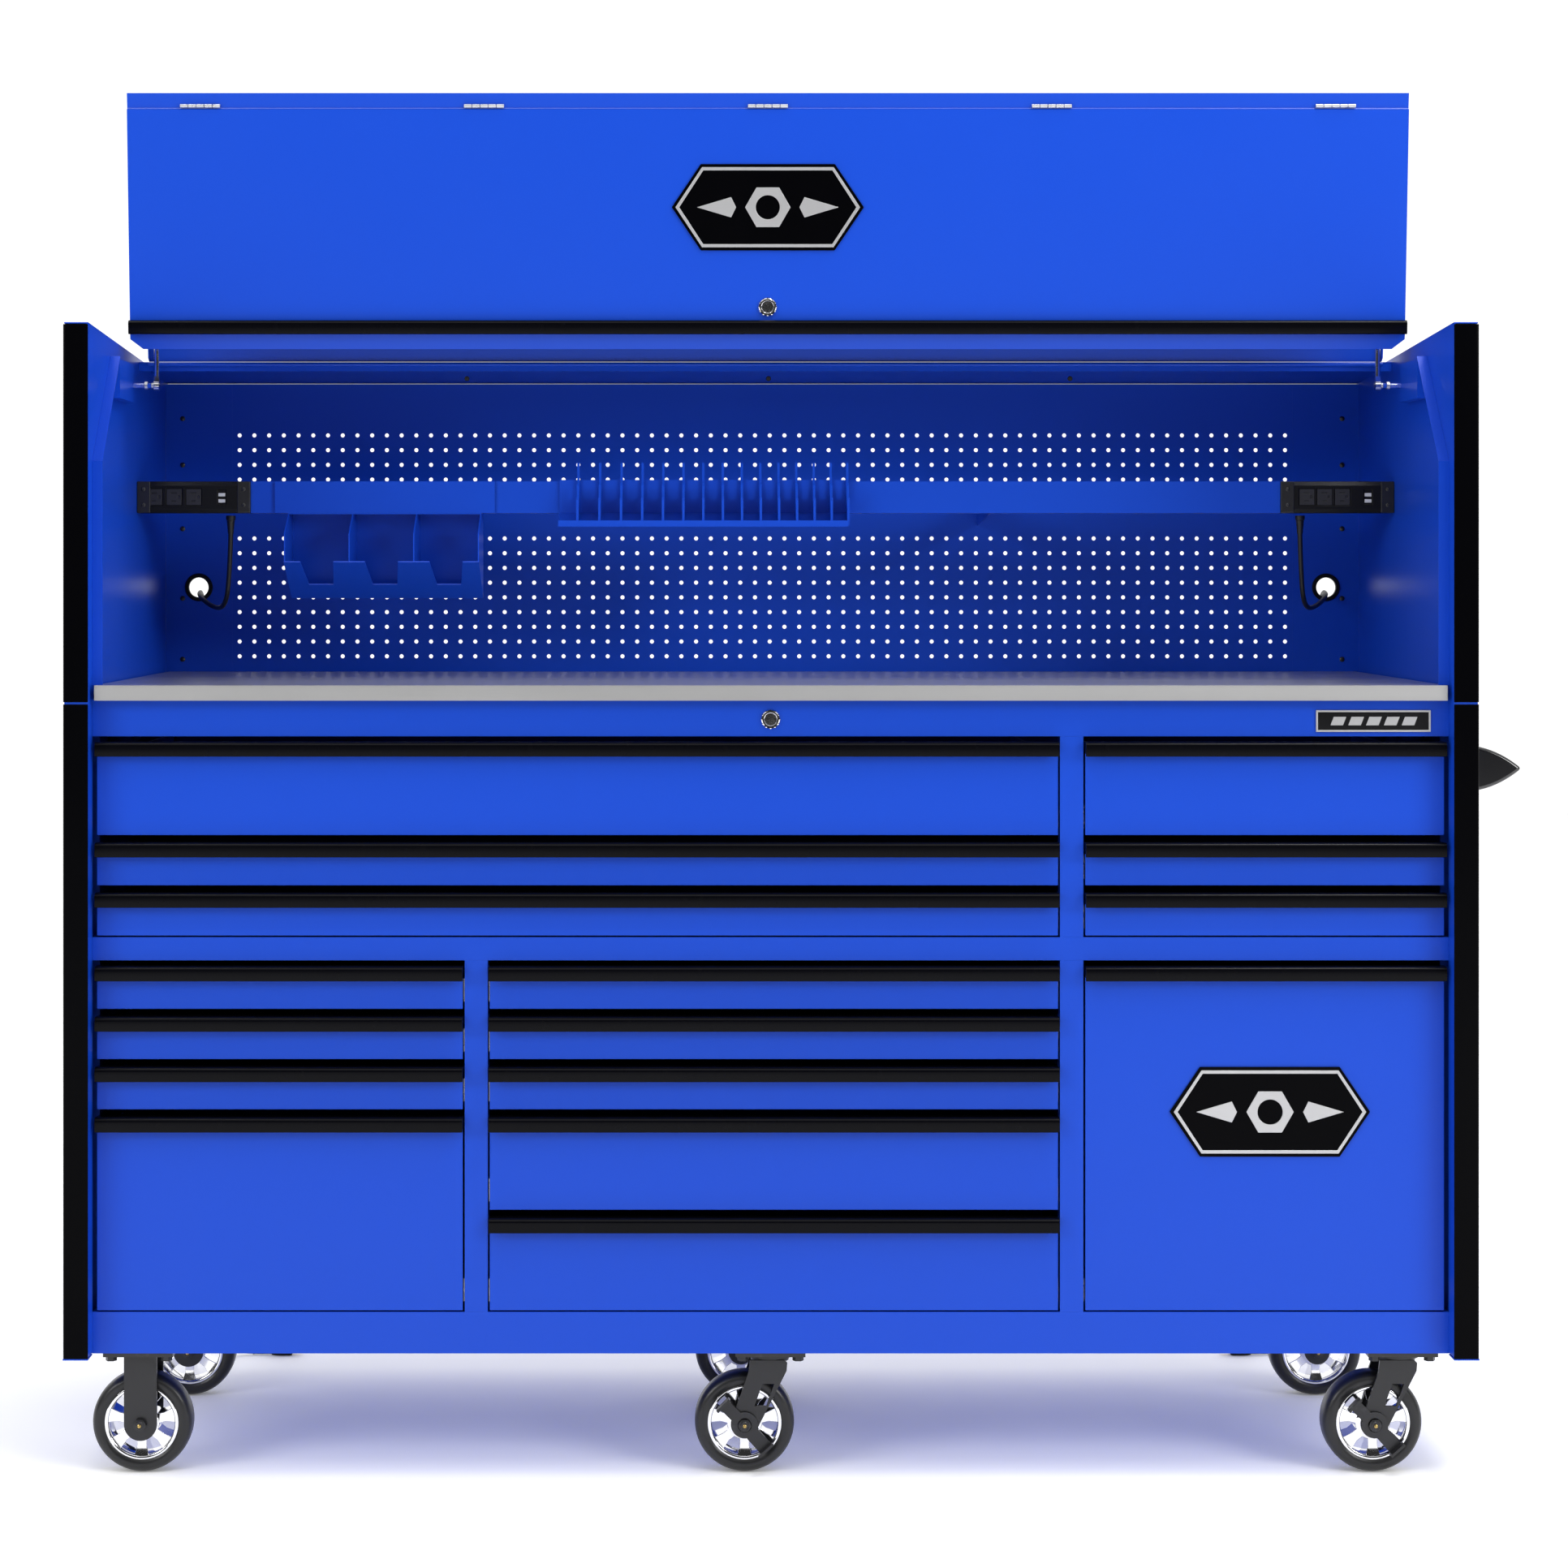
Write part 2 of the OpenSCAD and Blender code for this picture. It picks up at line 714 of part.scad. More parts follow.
// The curve's points, closer together where the route's own points are.
function route_line(p) = [
    for (i = [0 : len(p) - 2])
        let (steps = max(1, round(norm(p[i + 1] - p[i]) / 27)))
            for (k = [0 : steps - 1]) curve_at(p, i, k / steps),
    p[len(p) - 1]
];

function unit(v) = v / norm(v);

// A tube swept along a line. Each ring stands square to the line.
module swept_tube(line, d, sides = 8) {
    n = len(line);
    rings = [
        for (i = [0 : n - 1])
            let (
                t = unit(line[min(i + 1, n - 1)] - line[max(i - 1, 0)]),
                side = unit(cross(t, abs(t[1]) > 0.9 ? [0, 0, 1] : [0, 1, 0])),
                up = cross(side, t)
            )
                for (k = [0 : sides - 1])
                    let (a = 360 * k / sides)
                        line[i] + d / 2 * (cos(a) * side + sin(a) * up)
    ];
    walls = [
        for (i = [0 : n - 2])
            for (k = [0 : sides - 1])
                let (k1 = (k + 1) % sides)
                    [i * sides + k, i * sides + k1, (i + 1) * sides + k1, (i + 1) * sides + k]
    ];
    ends = [
        [for (k = [sides - 1 : -1 : 0]) k],
        [for (k = [0 : sides - 1]) (n - 1) * sides + k]
    ];
    polyhedron(rings, concat(walls, ends), convexity = 10);
}

module left_cord() {
    color(black) chest() swept_tube(route_line(CORD_LEFT), cord_d);
}

module right_cord() {
    color(black) chest() swept_tube(route_line(CORD_RIGHT), cord_d);
}

// A three-pin plug that lies on the floor past the end of its cord.
module mains_plug(end, side) {
    body_w = 24;
    body_h = 26;
    color(black) chest()
        translate([end[0], end[1], 0])
            mirror([side > 0 ? 1 : 0, 0, 0]) {
                block(0, 36, -body_h / 2, body_h / 2, 0, body_w);
                for (y = [-6.4, 6.4])
                    block(36, 52, y - 0.8, y + 0.8, body_w / 2 - 3, body_w / 2 + 3);
                rod_x(36, 55, 0, body_w / 2 - 8, 4.8);
            }
}

module left_plug() {
    mains_plug(CORD_LEFT[len(CORD_LEFT) - 1], -1);
}

module right_plug() {
    mains_plug(CORD_RIGHT[len(CORD_RIGHT) - 1], 1);
}

// --------------------------------------------------------------------------- lid

// Depth and height of the roof's hinge, and of the front panel's hinge when closed.
lid_hinge = [455, 1716];
panel_hinge = [26, 1590];
roof_bend = [180, wall_top(180)];
roof_t = 2;
hinge_count = 5;
hinge_w = 64;
hinge_x = [for (i = [0 : hinge_count - 1]) (i - 2) * 448];

function turn(v, a) = [v[0] * cos(a) - v[1] * sin(a), v[0] * sin(a) + v[1] * cos(a)];
function opened(p) = lid_hinge + turn(p - lid_hinge, -lid_swing);

panel_open = opened(panel_hinge);

// Turns a part of the roof from its closed place to its open one.
module roof_open() {
    translate([0, at_d(lid_hinge[0]), lid_hinge[1]])
        rotate([-lid_swing, 0, 0])
            translate([0, -at_d(lid_hinge[0]), -lid_hinge[1]])
                children();
}

// Moves a part of the front panel from its closed place to its open one.
module panel_opened() {
    translate([0, at_d(panel_open[0]), panel_open[1]])
        rotate([panel_lean, 0, 0])
            translate([0, -at_d(panel_hinge[0]), -panel_hinge[1]])
                children();
}

// Unit vectors of the roof's front slope, along it and into the hutch.
slope_u = unit(roof_bend - panel_hinge);
slope_n = [slope_u[1], -slope_u[0]];
strut_pin = panel_hinge + 85 * slope_u + 26 * slope_n;
strut_pin_open = opened(strut_pin);

module lid_roof() {
    flat_d = lid_hinge[0] - 3;
    flat_end = [flat_d, wall_top(flat_d)];
    down = [0, -roof_t];
    nose = panel_hinge + 5 * slope_u;
    strip = nose + [-seam, roof_t];
    drip = panel_hinge + [-20, 6.6];
    rim = 12;
    x = lid_half_w;
    color(paint) chest() roof_open() {
        side_prism(-x, x, [roof_bend, roof_bend + down, flat_end + down, flat_end]);
        side_prism(-x, x, [
            nose, roof_bend - [seam, seam], roof_bend + down - [seam, 0], nose + roof_t * slope_n
        ]);
        side_prism(-x, x, [strip, strip - [0, roof_t], drip - [0, roof_t], drip]);
        both_sides() {
            side_prism(x - roof_t, x, [
                roof_bend + down - [0, seam], roof_bend + [10, -rim],
                flat_end + [-8, -rim], flat_end + down - [0, seam]
            ]);
            side_prism(x - roof_t, x, [
                panel_hinge + 45 * slope_u + (roof_t + seam) * slope_n,
                panel_hinge + 45 * slope_u + rim * slope_n,
                roof_bend - 10 * slope_u + rim * slope_n,
                roof_bend - 4 * slope_u + (roof_t + seam) * slope_n
            ]);
            side_prism(strut_x + 10, strut_x + 13, [
                strut_pin - 14 * slope_u + 8 * slope_n,
                strut_pin + 14 * slope_u + 8 * slope_n,
                strut_pin + 20 * slope_u - 23.5 * slope_n,
                strut_pin - 20 * slope_u - 23.5 * slope_n
            ]);
            rod_x(strut_x - 4, strut_x + 10, at_d(strut_pin[0]), strut_pin[1], 7.9);
        }
    }
}

module lid_hinges() {
    color(steel) chest() roof_open()
        for (x = hinge_x)
            rod_x(
                x - hinge_w / 2, x + hinge_w / 2,
                at_d(panel_hinge[0]), panel_hinge[1], 6.4
            );
}

pull_len = 22;

module lid_panel() {
    d0 = panel_hinge[0];
    z1 = panel_hinge[1] - 5;
    z0 = panel_hinge[1] - panel_len - pull_len;
    deep = 18;
    lip_cut = 20;
    lip_h = 24;
    x = lid_half_w;
    color(paint) chest() panel_opened() {
        block(-x, x, at_d(d0), at_d(d0) + sheet, z0, z1);
        both_sides() block(x - sheet, x, at_d(d0) + sheet, at_d(d0) + deep, z0, z1 - 18);
        translate([0, at_d(d0), z0])
            rotate([12, 0, 0])
                translate([0, sheet, -0.5])
                    rotate([90, 0, 0])
                        linear_extrude(sheet)
                            polygon([
                                [-x, 0], [-x, -8], [-x + lip_cut, -lip_h],
                                [x - lip_cut, -lip_h], [x, -8], [x, 0]
                            ]);
    }
}

module lid_pull() {
    z1 = panel_hinge[1] - panel_len;
    d0 = panel_hinge[0];
    x = lid_half_w;
    color(black) chest() panel_opened()
        side_prism(-x, x, [
            [d0, z1], [d0 - 12, z1], [d0 - 18, z1 - 5],
            [d0 - 18, z1 - pull_len + 2], [d0 - 16, z1 - pull_len], [d0, z1 - pull_len]
        ]);
}

lid_lock_z = panel_hinge[1] - 316;

module lid_lock_bezel() {
    color(steel) chest() panel_opened()
        difference() {
            rod_y(0, at_d(panel_hinge[0]) - 5, at_d(panel_hinge[0]), lid_lock_z, 29);
            rod_y(0, at_d(panel_hinge[0]) - 6, at_d(panel_hinge[0]) + 1, lid_lock_z, 18.2);
        }
}

module lid_lock_plug() {
    y = at_d(panel_hinge[0]);
    color(steel) chest() panel_opened()
        difference() {
            rod_y(0, y - 4, y - 0.2, lid_lock_z, 18);
            block(-0.8, 0.8, y - 5, y - 1.5, lid_lock_z - 4.5, lid_lock_z + 4.5);
        }
}

// The gas struts' axis at rest, from the pin on the roof down to the foot.
strut_v = strut_foot - strut_pin_open;
strut_len = norm(strut_v);
strut_angle = atan2(strut_v[1], strut_v[0]);
cylinder_len = [14, 193];

// Puts a strut part drawn along +X of its own frame onto the strut's axis at rest.
module along_strut() {
    translate([strut_x, at_d(strut_pin_open[0]), strut_pin_open[1]])
        rotate([90, 0, 90])
            rotate([0, 0, strut_angle])
                children();
}

// An eye around a pin, with its axis along the chest.
module strut_eye(at, bore) {
    translate([at, 0, -4])
        difference() {
            union() {
                cylinder(h = 8, d = 16, $fn = fine);
                translate([at > 0 ? -15 : 0, -4, 0]) cube([15, 8, 8]);
            }
            translate([0, 0, -1]) cylinder(h = 10, d = bore, $fn = fine);
        }
}

module strut_cylinders() {
    tube_d = 18;
    bore_d = 9;
    color(black) chest() both_sides() along_strut() {
        strut_eye(0, 8);
        translate([cylinder_len[0], 0, 0])
            rotate([0, 90, 0])
                difference() {
                    cylinder(h = cylinder_len[1] - cylinder_len[0], d = tube_d, $fn = fine);
                    translate([0, 0, 6])
                        cylinder(h = cylinder_len[1], d = bore_d, $fn = fine);
                }
    }
}

module strut_rods() {
    rod_d = 8;
    tail = 172;
    color(steel) chest() both_sides() along_strut() {
        strut_eye(strut_len, 6);
        translate([strut_len - 14 - tail, 0, 0])
            rotate([0, 90, 0]) cylinder(h = tail, d = rod_d, $fn = fine);
    }
}

// ----------------------------------------------------------------------- casters

// Kingpins of the swivel casters, then of the rigid ones, as [x, depth].
SWIVELS = [
    [0, front_caster_d], [caster_x, front_caster_d], [0, rear_caster_d], [caster_x, rear_caster_d]
];
RIGIDS = [[-caster_x, front_caster_d], [-caster_x, rear_caster_d]];
AXLES = concat([for (s = SWIVELS) s - [trail, 0]], RIGIDS);

plate_t = 6;
plate_z = base_z - plate_t;
fork_in = wheel_w / 2 + 3;
fork_t = 5;
race_z = plate_z - 9;

module at_caster(p) {
    translate([p[0], at_d(p[1]), 0]) children();
}

// A hexagon head below a caster plate.
module plate_bolt(x, y) {
    translate([x, y, plate_z - 7]) cylinder(h = 7, d = 17, $fn = 6);
}

// One leg of a rigid fork, with its lower end round about the axle.
module rigid_leg(y) {
    translate([0, y + fork_t, 0])
        rotate([90, 0, 0])
            linear_extrude(fork_t)
                difference() {
                    union() {
                        translate([0, wheel_r]) circle(r = 25, $fn = fine);
                        translate([-25, wheel_r]) square([50, plate_z - wheel_r]);
                    }
                    translate([0, wheel_r]) circle(d = axle_d + 0.2, $fn = fine);
                }
}

module axle_bolt(x) {
    head_h = 8;
    y = fork_in + fork_t;
    translate([x, 0, wheel_r])
        rotate([90, 0, 0])
            cylinder(h = 2 * y, d = axle_d, center = true, $fn = fine);
    for (side = [-1, 1])
        translate([x, side * (y + head_h / 2), wheel_r])
            rotate([90, 0, 0])
                cylinder(h = head_h, d = 20, center = true, $fn = 6);
}

module caster_mounts() {
    color(black) chest() {
        for (p = concat(SWIVELS, RIGIDS))
            at_caster(p) {
                block(-53, 53, -56, 56, plate_z, plate_z + plate_t);
                for (x = [-42, 42])
                    for (y = [-45, 45])
                        plate_bolt(x, y);
            }
        for (p = SWIVELS)
            at_caster(p)
                difference() {
                    translate([0, 0, race_z]) cylinder(h = 9, d = 70, $fn = fine);
                    translate([0, 0, race_z - 1]) cylinder(h = 8, d = 20.1, $fn = fine);
                }
        for (p = RIGIDS)
            at_caster(p) {
                rigid_leg(-fork_in - fork_t);
                rigid_leg(fork_in);
                axle_bolt(0);
            }
    }
}

// One leg of a swivel fork, slanting from the crown back to the axle.
module swivel_leg(y) {
    top = race_z - 1;
    translate([0, y + fork_t, 0])
        rotate([90, 0, 0])
            linear_extrude(fork_t)
                difference() {
                    union() {
                        translate([-trail, wheel_r]) circle(r = 21, $fn = fine);
                        polygon([
                            [-31, top], [22, top], [26, top - 4], [25, top - 16],
                            [-trail + 20.5, wheel_r - 4], [-trail - 20.5, wheel_r + 4],
                            [-33, top - 18]
                        ]);
                    }
                    translate([-trail, wheel_r]) circle(d = axle_d + 0.2, $fn = fine);
                    polygon([
                        [-12, wheel_r + 62], [6, wheel_r + 62],
                        [-6, wheel_r + 28], [-24, wheel_r + 28]
                    ]);
                }
}

module fork(p) {
    top = race_z - 1;
    color(black) chest() at_caster(p) {
        translate([0, 0, top - 5]) cylinder(h = 5, d = 58, $fn = fine);
        translate([0, 0, top]) cylinder(h = 7.5, d = 20, $fn = fine);
        for (y = [-fork_in - fork_t, fork_in])
            swivel_leg(y);
        axle_bolt(-trail);
    }
}

module wheel(p) {
    rim_r = 57;
    hub_r = 20;
    windows = 6;
    core_w = 40;
    color(black) chest() at_caster(p)
        translate([0, 0, wheel_r])
            rotate([90, 0, 0])
                rotate_extrude($fn = 96)
                    polygon([
                        [rim_r, -wheel_w / 2 + 3], [wheel_r - 12, -wheel_w / 2],
                        [wheel_r - 4, -wheel_w / 2 + 3], [wheel_r, -wheel_w / 2 + 9],
                        [wheel_r, wheel_w / 2 - 9], [wheel_r - 4, wheel_w / 2 - 3],
                        [wheel_r - 12, wheel_w / 2], [rim_r, wheel_w / 2 - 3]
                    ]);
    color(steel) chest() at_caster(p)
        translate([0, 0, wheel_r])
            rotate([90, 0, 0]) {
                difference() {
                    translate([0, 0, -core_w / 2]) cylinder(h = core_w, r = rim_r, $fn = 96);
                    translate([0, 0, -core_w]) cylinder(h = 2 * core_w, d = axle_d + 0.1, $fn = fine);
                    for (i = [0 : windows - 1])
                        rotate([0, 0, i * 360 / windows])
                            translate([0, 0, -core_w])
                                linear_extrude(2 * core_w)
                                    polygon([
                                        [hub_r + 5, -8], [rim_r - 8, -17],
                                        [rim_r - 5, 0], [rim_r - 8, 17], [hub_r + 5, 8]
                                    ]);
                }
            }
}

// A brake rocker on the outside of a front swivel fork, with a pedal at each end.
module brake(p) {
    y0 = -fork_in - fork_t - 0.5;
    t = 4;
    color(black) chest() at_caster(p)
        translate([-trail, y0, wheel_r])
            rotate([90, 0, 0]) {
                difference() {
                    cylinder(h = t, r = 20, $fn = fine);
                    translate([0, 0, -1]) cylinder(h = t + 2, d = 21.5, $fn = fine);
                }
                rotate([0, 0, 135]) translate([18, -9, 0]) cube([30, 18, t]);
                rotate([0, 0, 135]) translate([44, -13, t]) cube([4, 26, 14]);
                rotate([0, 0, -48]) translate([18, -11, 0]) cube([32, 22, t]);
                rotate([0, 0, -48]) translate([46, -14, t]) cube([4, 28, 14]);
            }
}

cabinet_shell();
face_frame();
partitions();
slide_channels();
front_posts();
worktop();
hutch_shell();
hutch_posts();
hutch_top();
pegboard();
tool_rail();
bin_rack();
wrench_rack();
left_power_strip();
right_power_strip();
cord_grommets();
side_handle();
base_lock_bezel();
base_lock_plug();
caster_mounts();
left_cord();
right_cord();
left_plug();
right_plug();
lid_roof();
lid_hinges();
lid_panel();
lid_pull();
lid_lock_bezel();
lid_lock_plug();
strut_cylinders();
strut_rods();
for (i = [0 : len(DRAWERS) - 1]) drawer(SLOTS[i]);
for (i = [0 : len(FORKS) - 1]) fork(SWIVELS[i]);
for (i = [0 : len(WHEELS) - 1]) wheel(AXLES[i]);
for (i = [0 : len(BRAKES) - 1]) brake(SWIVELS[i]);
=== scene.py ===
import math

import bmesh
import bpy
from mathutils import Matrix, Vector


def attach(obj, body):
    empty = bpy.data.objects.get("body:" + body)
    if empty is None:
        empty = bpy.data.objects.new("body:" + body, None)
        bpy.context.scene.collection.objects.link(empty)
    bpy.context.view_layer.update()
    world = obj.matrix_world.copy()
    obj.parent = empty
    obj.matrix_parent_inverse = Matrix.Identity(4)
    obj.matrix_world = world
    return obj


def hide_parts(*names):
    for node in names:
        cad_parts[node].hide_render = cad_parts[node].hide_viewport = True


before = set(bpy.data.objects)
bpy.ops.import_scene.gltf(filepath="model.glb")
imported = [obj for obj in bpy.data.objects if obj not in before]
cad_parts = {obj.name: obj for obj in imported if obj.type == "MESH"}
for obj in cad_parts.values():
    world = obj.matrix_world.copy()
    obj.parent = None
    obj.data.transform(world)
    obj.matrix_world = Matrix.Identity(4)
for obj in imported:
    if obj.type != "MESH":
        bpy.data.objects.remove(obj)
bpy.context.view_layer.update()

# Pieces are drawn in millimetres, as (x from the chest's middle, depth behind the posts' front,
# height above the floor).
ORIGIN = Vector((-0.048, -0.381, 0.0))
MM = 0.001

HALF_W = 1066.8
INNER_X = 1028.8
EDGE_X = 1024.8
DIVIDER_1 = (-464.0, -429.0)
DIVIDER_2 = (439.0, 474.5)
MODULE = 76.2
LOWER_Z = 253.0
UPPER_Z = 821.4
FACE = 38.0
LOWER_POSTS = (190.1, 1176)
UPPER_POSTS = (1179.3, 1748.9)
PEG_D = 742

BASE_LOCK_Z = 1152.2
LID_LOCK_Z = 1274
# Hinges are (depth, height). The lid's pieces are drawn where they are when it is shut.
PANEL_HINGE = (26.0, 1590.0)
PANEL_HINGE_OPEN = (245.311, 2110.902)
PANEL_LEAN = 5
PANEL_LEN = 337
ROOF_HINGE = (455, 1716)
ROOF_SWING = 78.4
LID_HALF_W = 1012
LID_PULL_H = 22


# ------------------------------------------------------------------ camera and light

RANGE_INPUTS = ("From Min", "From Max", "To Min", "To Max")


def area_light(name, spot, target, size, power):
    data = bpy.data.lights.new(name, "AREA")
    data.shape = "RECTANGLE"
    data.size, data.size_y = size
    data.energy = power
    light = bpy.data.objects.new(name, data)
    bpy.context.collection.objects.link(light)
    light.location = spot
    light.rotation_mode = "QUATERNION"
    light.rotation_quaternion = (Vector(target) - Vector(spot)).to_track_quat("-Z", "Y")


def studio():
    """A white room that is dark low in front, so that the black trim has nothing to mirror."""
    scene = bpy.context.scene
    scene.view_settings.view_transform = "Standard"
    world = bpy.data.worlds.new("studio")
    scene.world = world
    world.use_nodes = True
    tree = world.node_tree
    background = tree.nodes["Background"]
    background.inputs["Color"].default_value = (1, 1, 1, 1)
    coords = tree.nodes.new("ShaderNodeTexCoord")
    split = tree.nodes.new("ShaderNodeSeparateXYZ")
    tree.links.new(coords.outputs["Generated"], split.inputs[0])
    brighter = tree.nodes.new("ShaderNodeMath")
    brighter.operation = "MAXIMUM"
    for index, (axis, start, end) in enumerate((("Y", -0.1, 0.3), ("Z", 0.40, 0.80))):
        fade = tree.nodes.new("ShaderNodeMapRange")
        for key, value in zip(RANGE_INPUTS, (start, end, 0.03, 1.12)):
            fade.inputs[key].default_value = value
        tree.links.new(split.outputs[axis], fade.inputs["Value"])
        tree.links.new(fade.outputs[0], brighter.inputs[index])
    # The backdrop itself is white from every side; only the light it sheds is shaped.
    seen = tree.nodes.new("ShaderNodeLightPath")
    backdrop = tree.nodes.new("ShaderNodeMath")
    backdrop.operation = "MAXIMUM"
    tree.links.new(brighter.outputs[0], backdrop.inputs[0])
    tree.links.new(seen.outputs["Is Camera Ray"], backdrop.inputs[1])
    tree.links.new(backdrop.outputs[0], background.inputs["Strength"])

    area_light("key_left", (-5.2, -4.8, 3.4), (0, 0, 0.9), (3.0, 2.4), 165)
    area_light("key_right", (5.2, -4.8, 3.4), (0, 0, 0.9), (3.0, 2.4), 215)
    area_light("overhead", (0.4, -2.4, 4.4), (0, -0.3, 1.0), (3.6, 1.2), 28)
    area_light("edge_right", (1.55, -0.9, 4.3), (0.8, -0.4, 1.0), (1.7, 0.35), 48)
    area_light("edge_left", (-1.6, -0.9, 4.3), (-0.8, -0.4, 1.0), (0.9, 0.2), 8)


def camera():
    data = bpy.data.cameras.new("camera")
    data.lens = 77.66
    data.sensor_width = 36
    data.shift_x = 0.052
    data.shift_y = -0.135
    data.clip_end = 60
    cam = bpy.data.objects.new("camera", data)
    bpy.context.collection.objects.link(cam)
    cam.location = (-0.1513, -5.474, 1.375)
    cam.rotation_euler = (math.radians(90), 0, 0)
    bpy.context.scene.camera = cam


# ------------------------------------------------------------------------- materials


def surface(
    name,
    colour,
    roughness,
    metallic=0.0,
    coat=0.0,
    tint=0.06,
    patch=3.0,
    rough_spread=0.06,
    grain=900.0,
    stretch=(1, 1, 1),
    bump=0.00004,
    wear=0.0,
    wear_colour=(0.5, 0.5, 0.5),
    ior=1.45,
    specular=0.5,
):
    """A material whose colour, roughness and height vary over the object's own coordinates."""
    material = bpy.data.materials.new(name)
    material.use_nodes = True
    tree = material.node_tree
    shader = tree.nodes["Principled BSDF"]
    shader.inputs["Metallic"].default_value = metallic
    shader.inputs["Coat Weight"].default_value = coat
    shader.inputs["Coat Roughness"].default_value = 0.08
    shader.inputs["IOR"].default_value = ior
    shader.inputs["Specular IOR Level"].default_value = specular
    coords = tree.nodes.new("ShaderNodeTexCoord")
    stretched = tree.nodes.new("ShaderNodeMapping")
    stretched.inputs["Scale"].default_value = stretch
    tree.links.new(coords.outputs["Object"], stretched.inputs["Vector"])

    def noise(scale, detail, source):
        texture = tree.nodes.new("ShaderNodeTexNoise")
        texture.inputs["Scale"].default_value = scale
        texture.inputs["Detail"].default_value = detail
        tree.links.new(source, texture.inputs["Vector"])
        return texture.outputs["Fac"]

    def spread(value, low, high, start=0.25, end=0.75):
        ramp = tree.nodes.new("ShaderNodeMapRange")
        for key, number in zip(RANGE_INPUTS, (start, end, low, high)):
            ramp.inputs[key].default_value = number
        tree.links.new(value, ramp.inputs["Value"])
        return ramp.outputs[0]

    def mixed(factor, first, second):
        mix = tree.nodes.new("ShaderNodeMix")
        mix.data_type = "RGBA"
        for socket, value in ((6, first), (7, second)):
            if isinstance(value, tuple):
                mix.inputs[socket].default_value = (*value, 1)
            else:
                tree.links.new(value, mix.inputs[socket])
        tree.links.new(factor, mix.inputs[0])
        return mix.outputs[2]

    plain, brushed = coords.outputs["Object"], stretched.outputs["Vector"]
    light = tuple(min(1.0, c * (1 + tint)) for c in colour)
    dark = tuple(c * (1 - tint) for c in colour)
    base = mixed(spread(noise(patch, 4, plain), 0, 1), dark, light)
    fine = noise(grain, 3, brushed)
    base = mixed(spread(fine, 0, 0.35), base, dark)
    if wear:
        rubbed = spread(noise(55, 9, plain), 0, wear, 0.63, 0.72)
        base = mixed(rubbed, base, wear_colour)
    tree.links.new(base, shader.inputs["Base Color"])
    rough = spread(noise(patch * 4, 5, brushed), roughness - rough_spread, roughness + rough_spread)
    tree.links.new(rough, shader.inputs["Roughness"])
    height = tree.nodes.new("ShaderNodeBump")
    height.inputs["Strength"].default_value = 1.0
    height.inputs["Distance"].default_value = bump
    tree.links.new(fine, height.inputs["Height"])
    tree.links.new(height.outputs["Normal"], shader.inputs["Normal"])
    return material


BLUE = surface(
    "blue_powder_coat", (0.005, 0.058, 0.515), 0.32, tint=0.012, patch=1.3, ior=1.32,
    grain=420, bump=0.000006, rough_spread=0.012,
)
BLACK_TRIM = surface(
    "black_anodised", (0.0018, 0.0018, 0.003), 0.2, ior=1.4, specular=0.12, grain=900,
    stretch=(0.03, 1, 1), bump=0.000003, rough_spread=0.04, wear=0.2, wear_colour=(0.005, 0.005, 0.006),
)
BLACK_POST = surface(
    "black_post", (0.0012, 0.0012, 0.0017), 0.16, ior=1.3, specular=0.07, grain=900, stretch=(1, 1, 0.03),
    bump=0.000003, rough_spread=0.04,
)
BLACK_STEEL = surface(
    "black_steel", (0.012, 0.012, 0.014), 0.38, coat=0.15, grain=700, bump=0.00006,
    wear=0.35, wear_colour=(0.05, 0.05, 0.055),
)
BLACK_GLOSS = surface(
    "black_gloss", (0.005, 0.005, 0.006), 0.16, coat=0.8, grain=600, bump=0.00001,
    rough_spread=0.03,
)
ZINC = surface(
    "zinc_steel", (0.66, 0.67, 0.69), 0.30, metallic=1.0, grain=1200, bump=0.00002,
    rough_spread=0.08, tint=0.1, patch=30,
)
STAINLESS = surface(
    "brushed_stainless", (0.62, 0.62, 0.62), 0.36, metallic=1.0, grain=900,
    stretch=(0.02, 1, 1), bump=0.000012, rough_spread=0.07, tint=0.06,
)
CHROME = surface(
    "chrome", (0.86, 0.86, 0.88), 0.07, metallic=1.0, grain=400, bump=0.000004,
    rough_spread=0.03, tint=0.03, patch=20,
)
PLASTIC = surface(
    "black_plastic", (0.003, 0.003, 0.004), 0.42, grain=1500, bump=0.00005, rough_spread=0.07,
    specular=0.25,
)
OUTLET = surface("outlet_face", (0.016, 0.016, 0.020), 0.45, grain=1500)
PALE = surface("pale_plastic", (0.55, 0.56, 0.58), 0.4, grain=1500, tint=0.04)
JACKET = surface(
    "cord_jacket", (0.006, 0.006, 0.007), 0.45, grain=1800, bump=0.00004, rough_spread=0.06,
)
RUBBER = surface(
    "tyre_rubber", (0.007, 0.007, 0.008), 0.42, coat=0.15, grain=1300, bump=0.00008, wear=0.5,
    wear_colour=(0.020, 0.019, 0.018), rough_spread=0.08,
)
BRASS = surface("brass", (0.60, 0.42, 0.14), 0.28, metallic=1.0, grain=900, patch=60)
SILVER = surface(
    "satin_silver", (0.52, 0.52, 0.53), 0.34, metallic=0.6, grain=900,
    stretch=(0.05, 1, 1), bump=0.00002,
)

# ------------------------------------------------------------------------- mesh tools

ORDER = {
    "x": lambda a, b, t: (t, a, b),
    "d": lambda a, b, t: (a, t, b),
    "z": lambda a, b, t: (a, b, t),
}


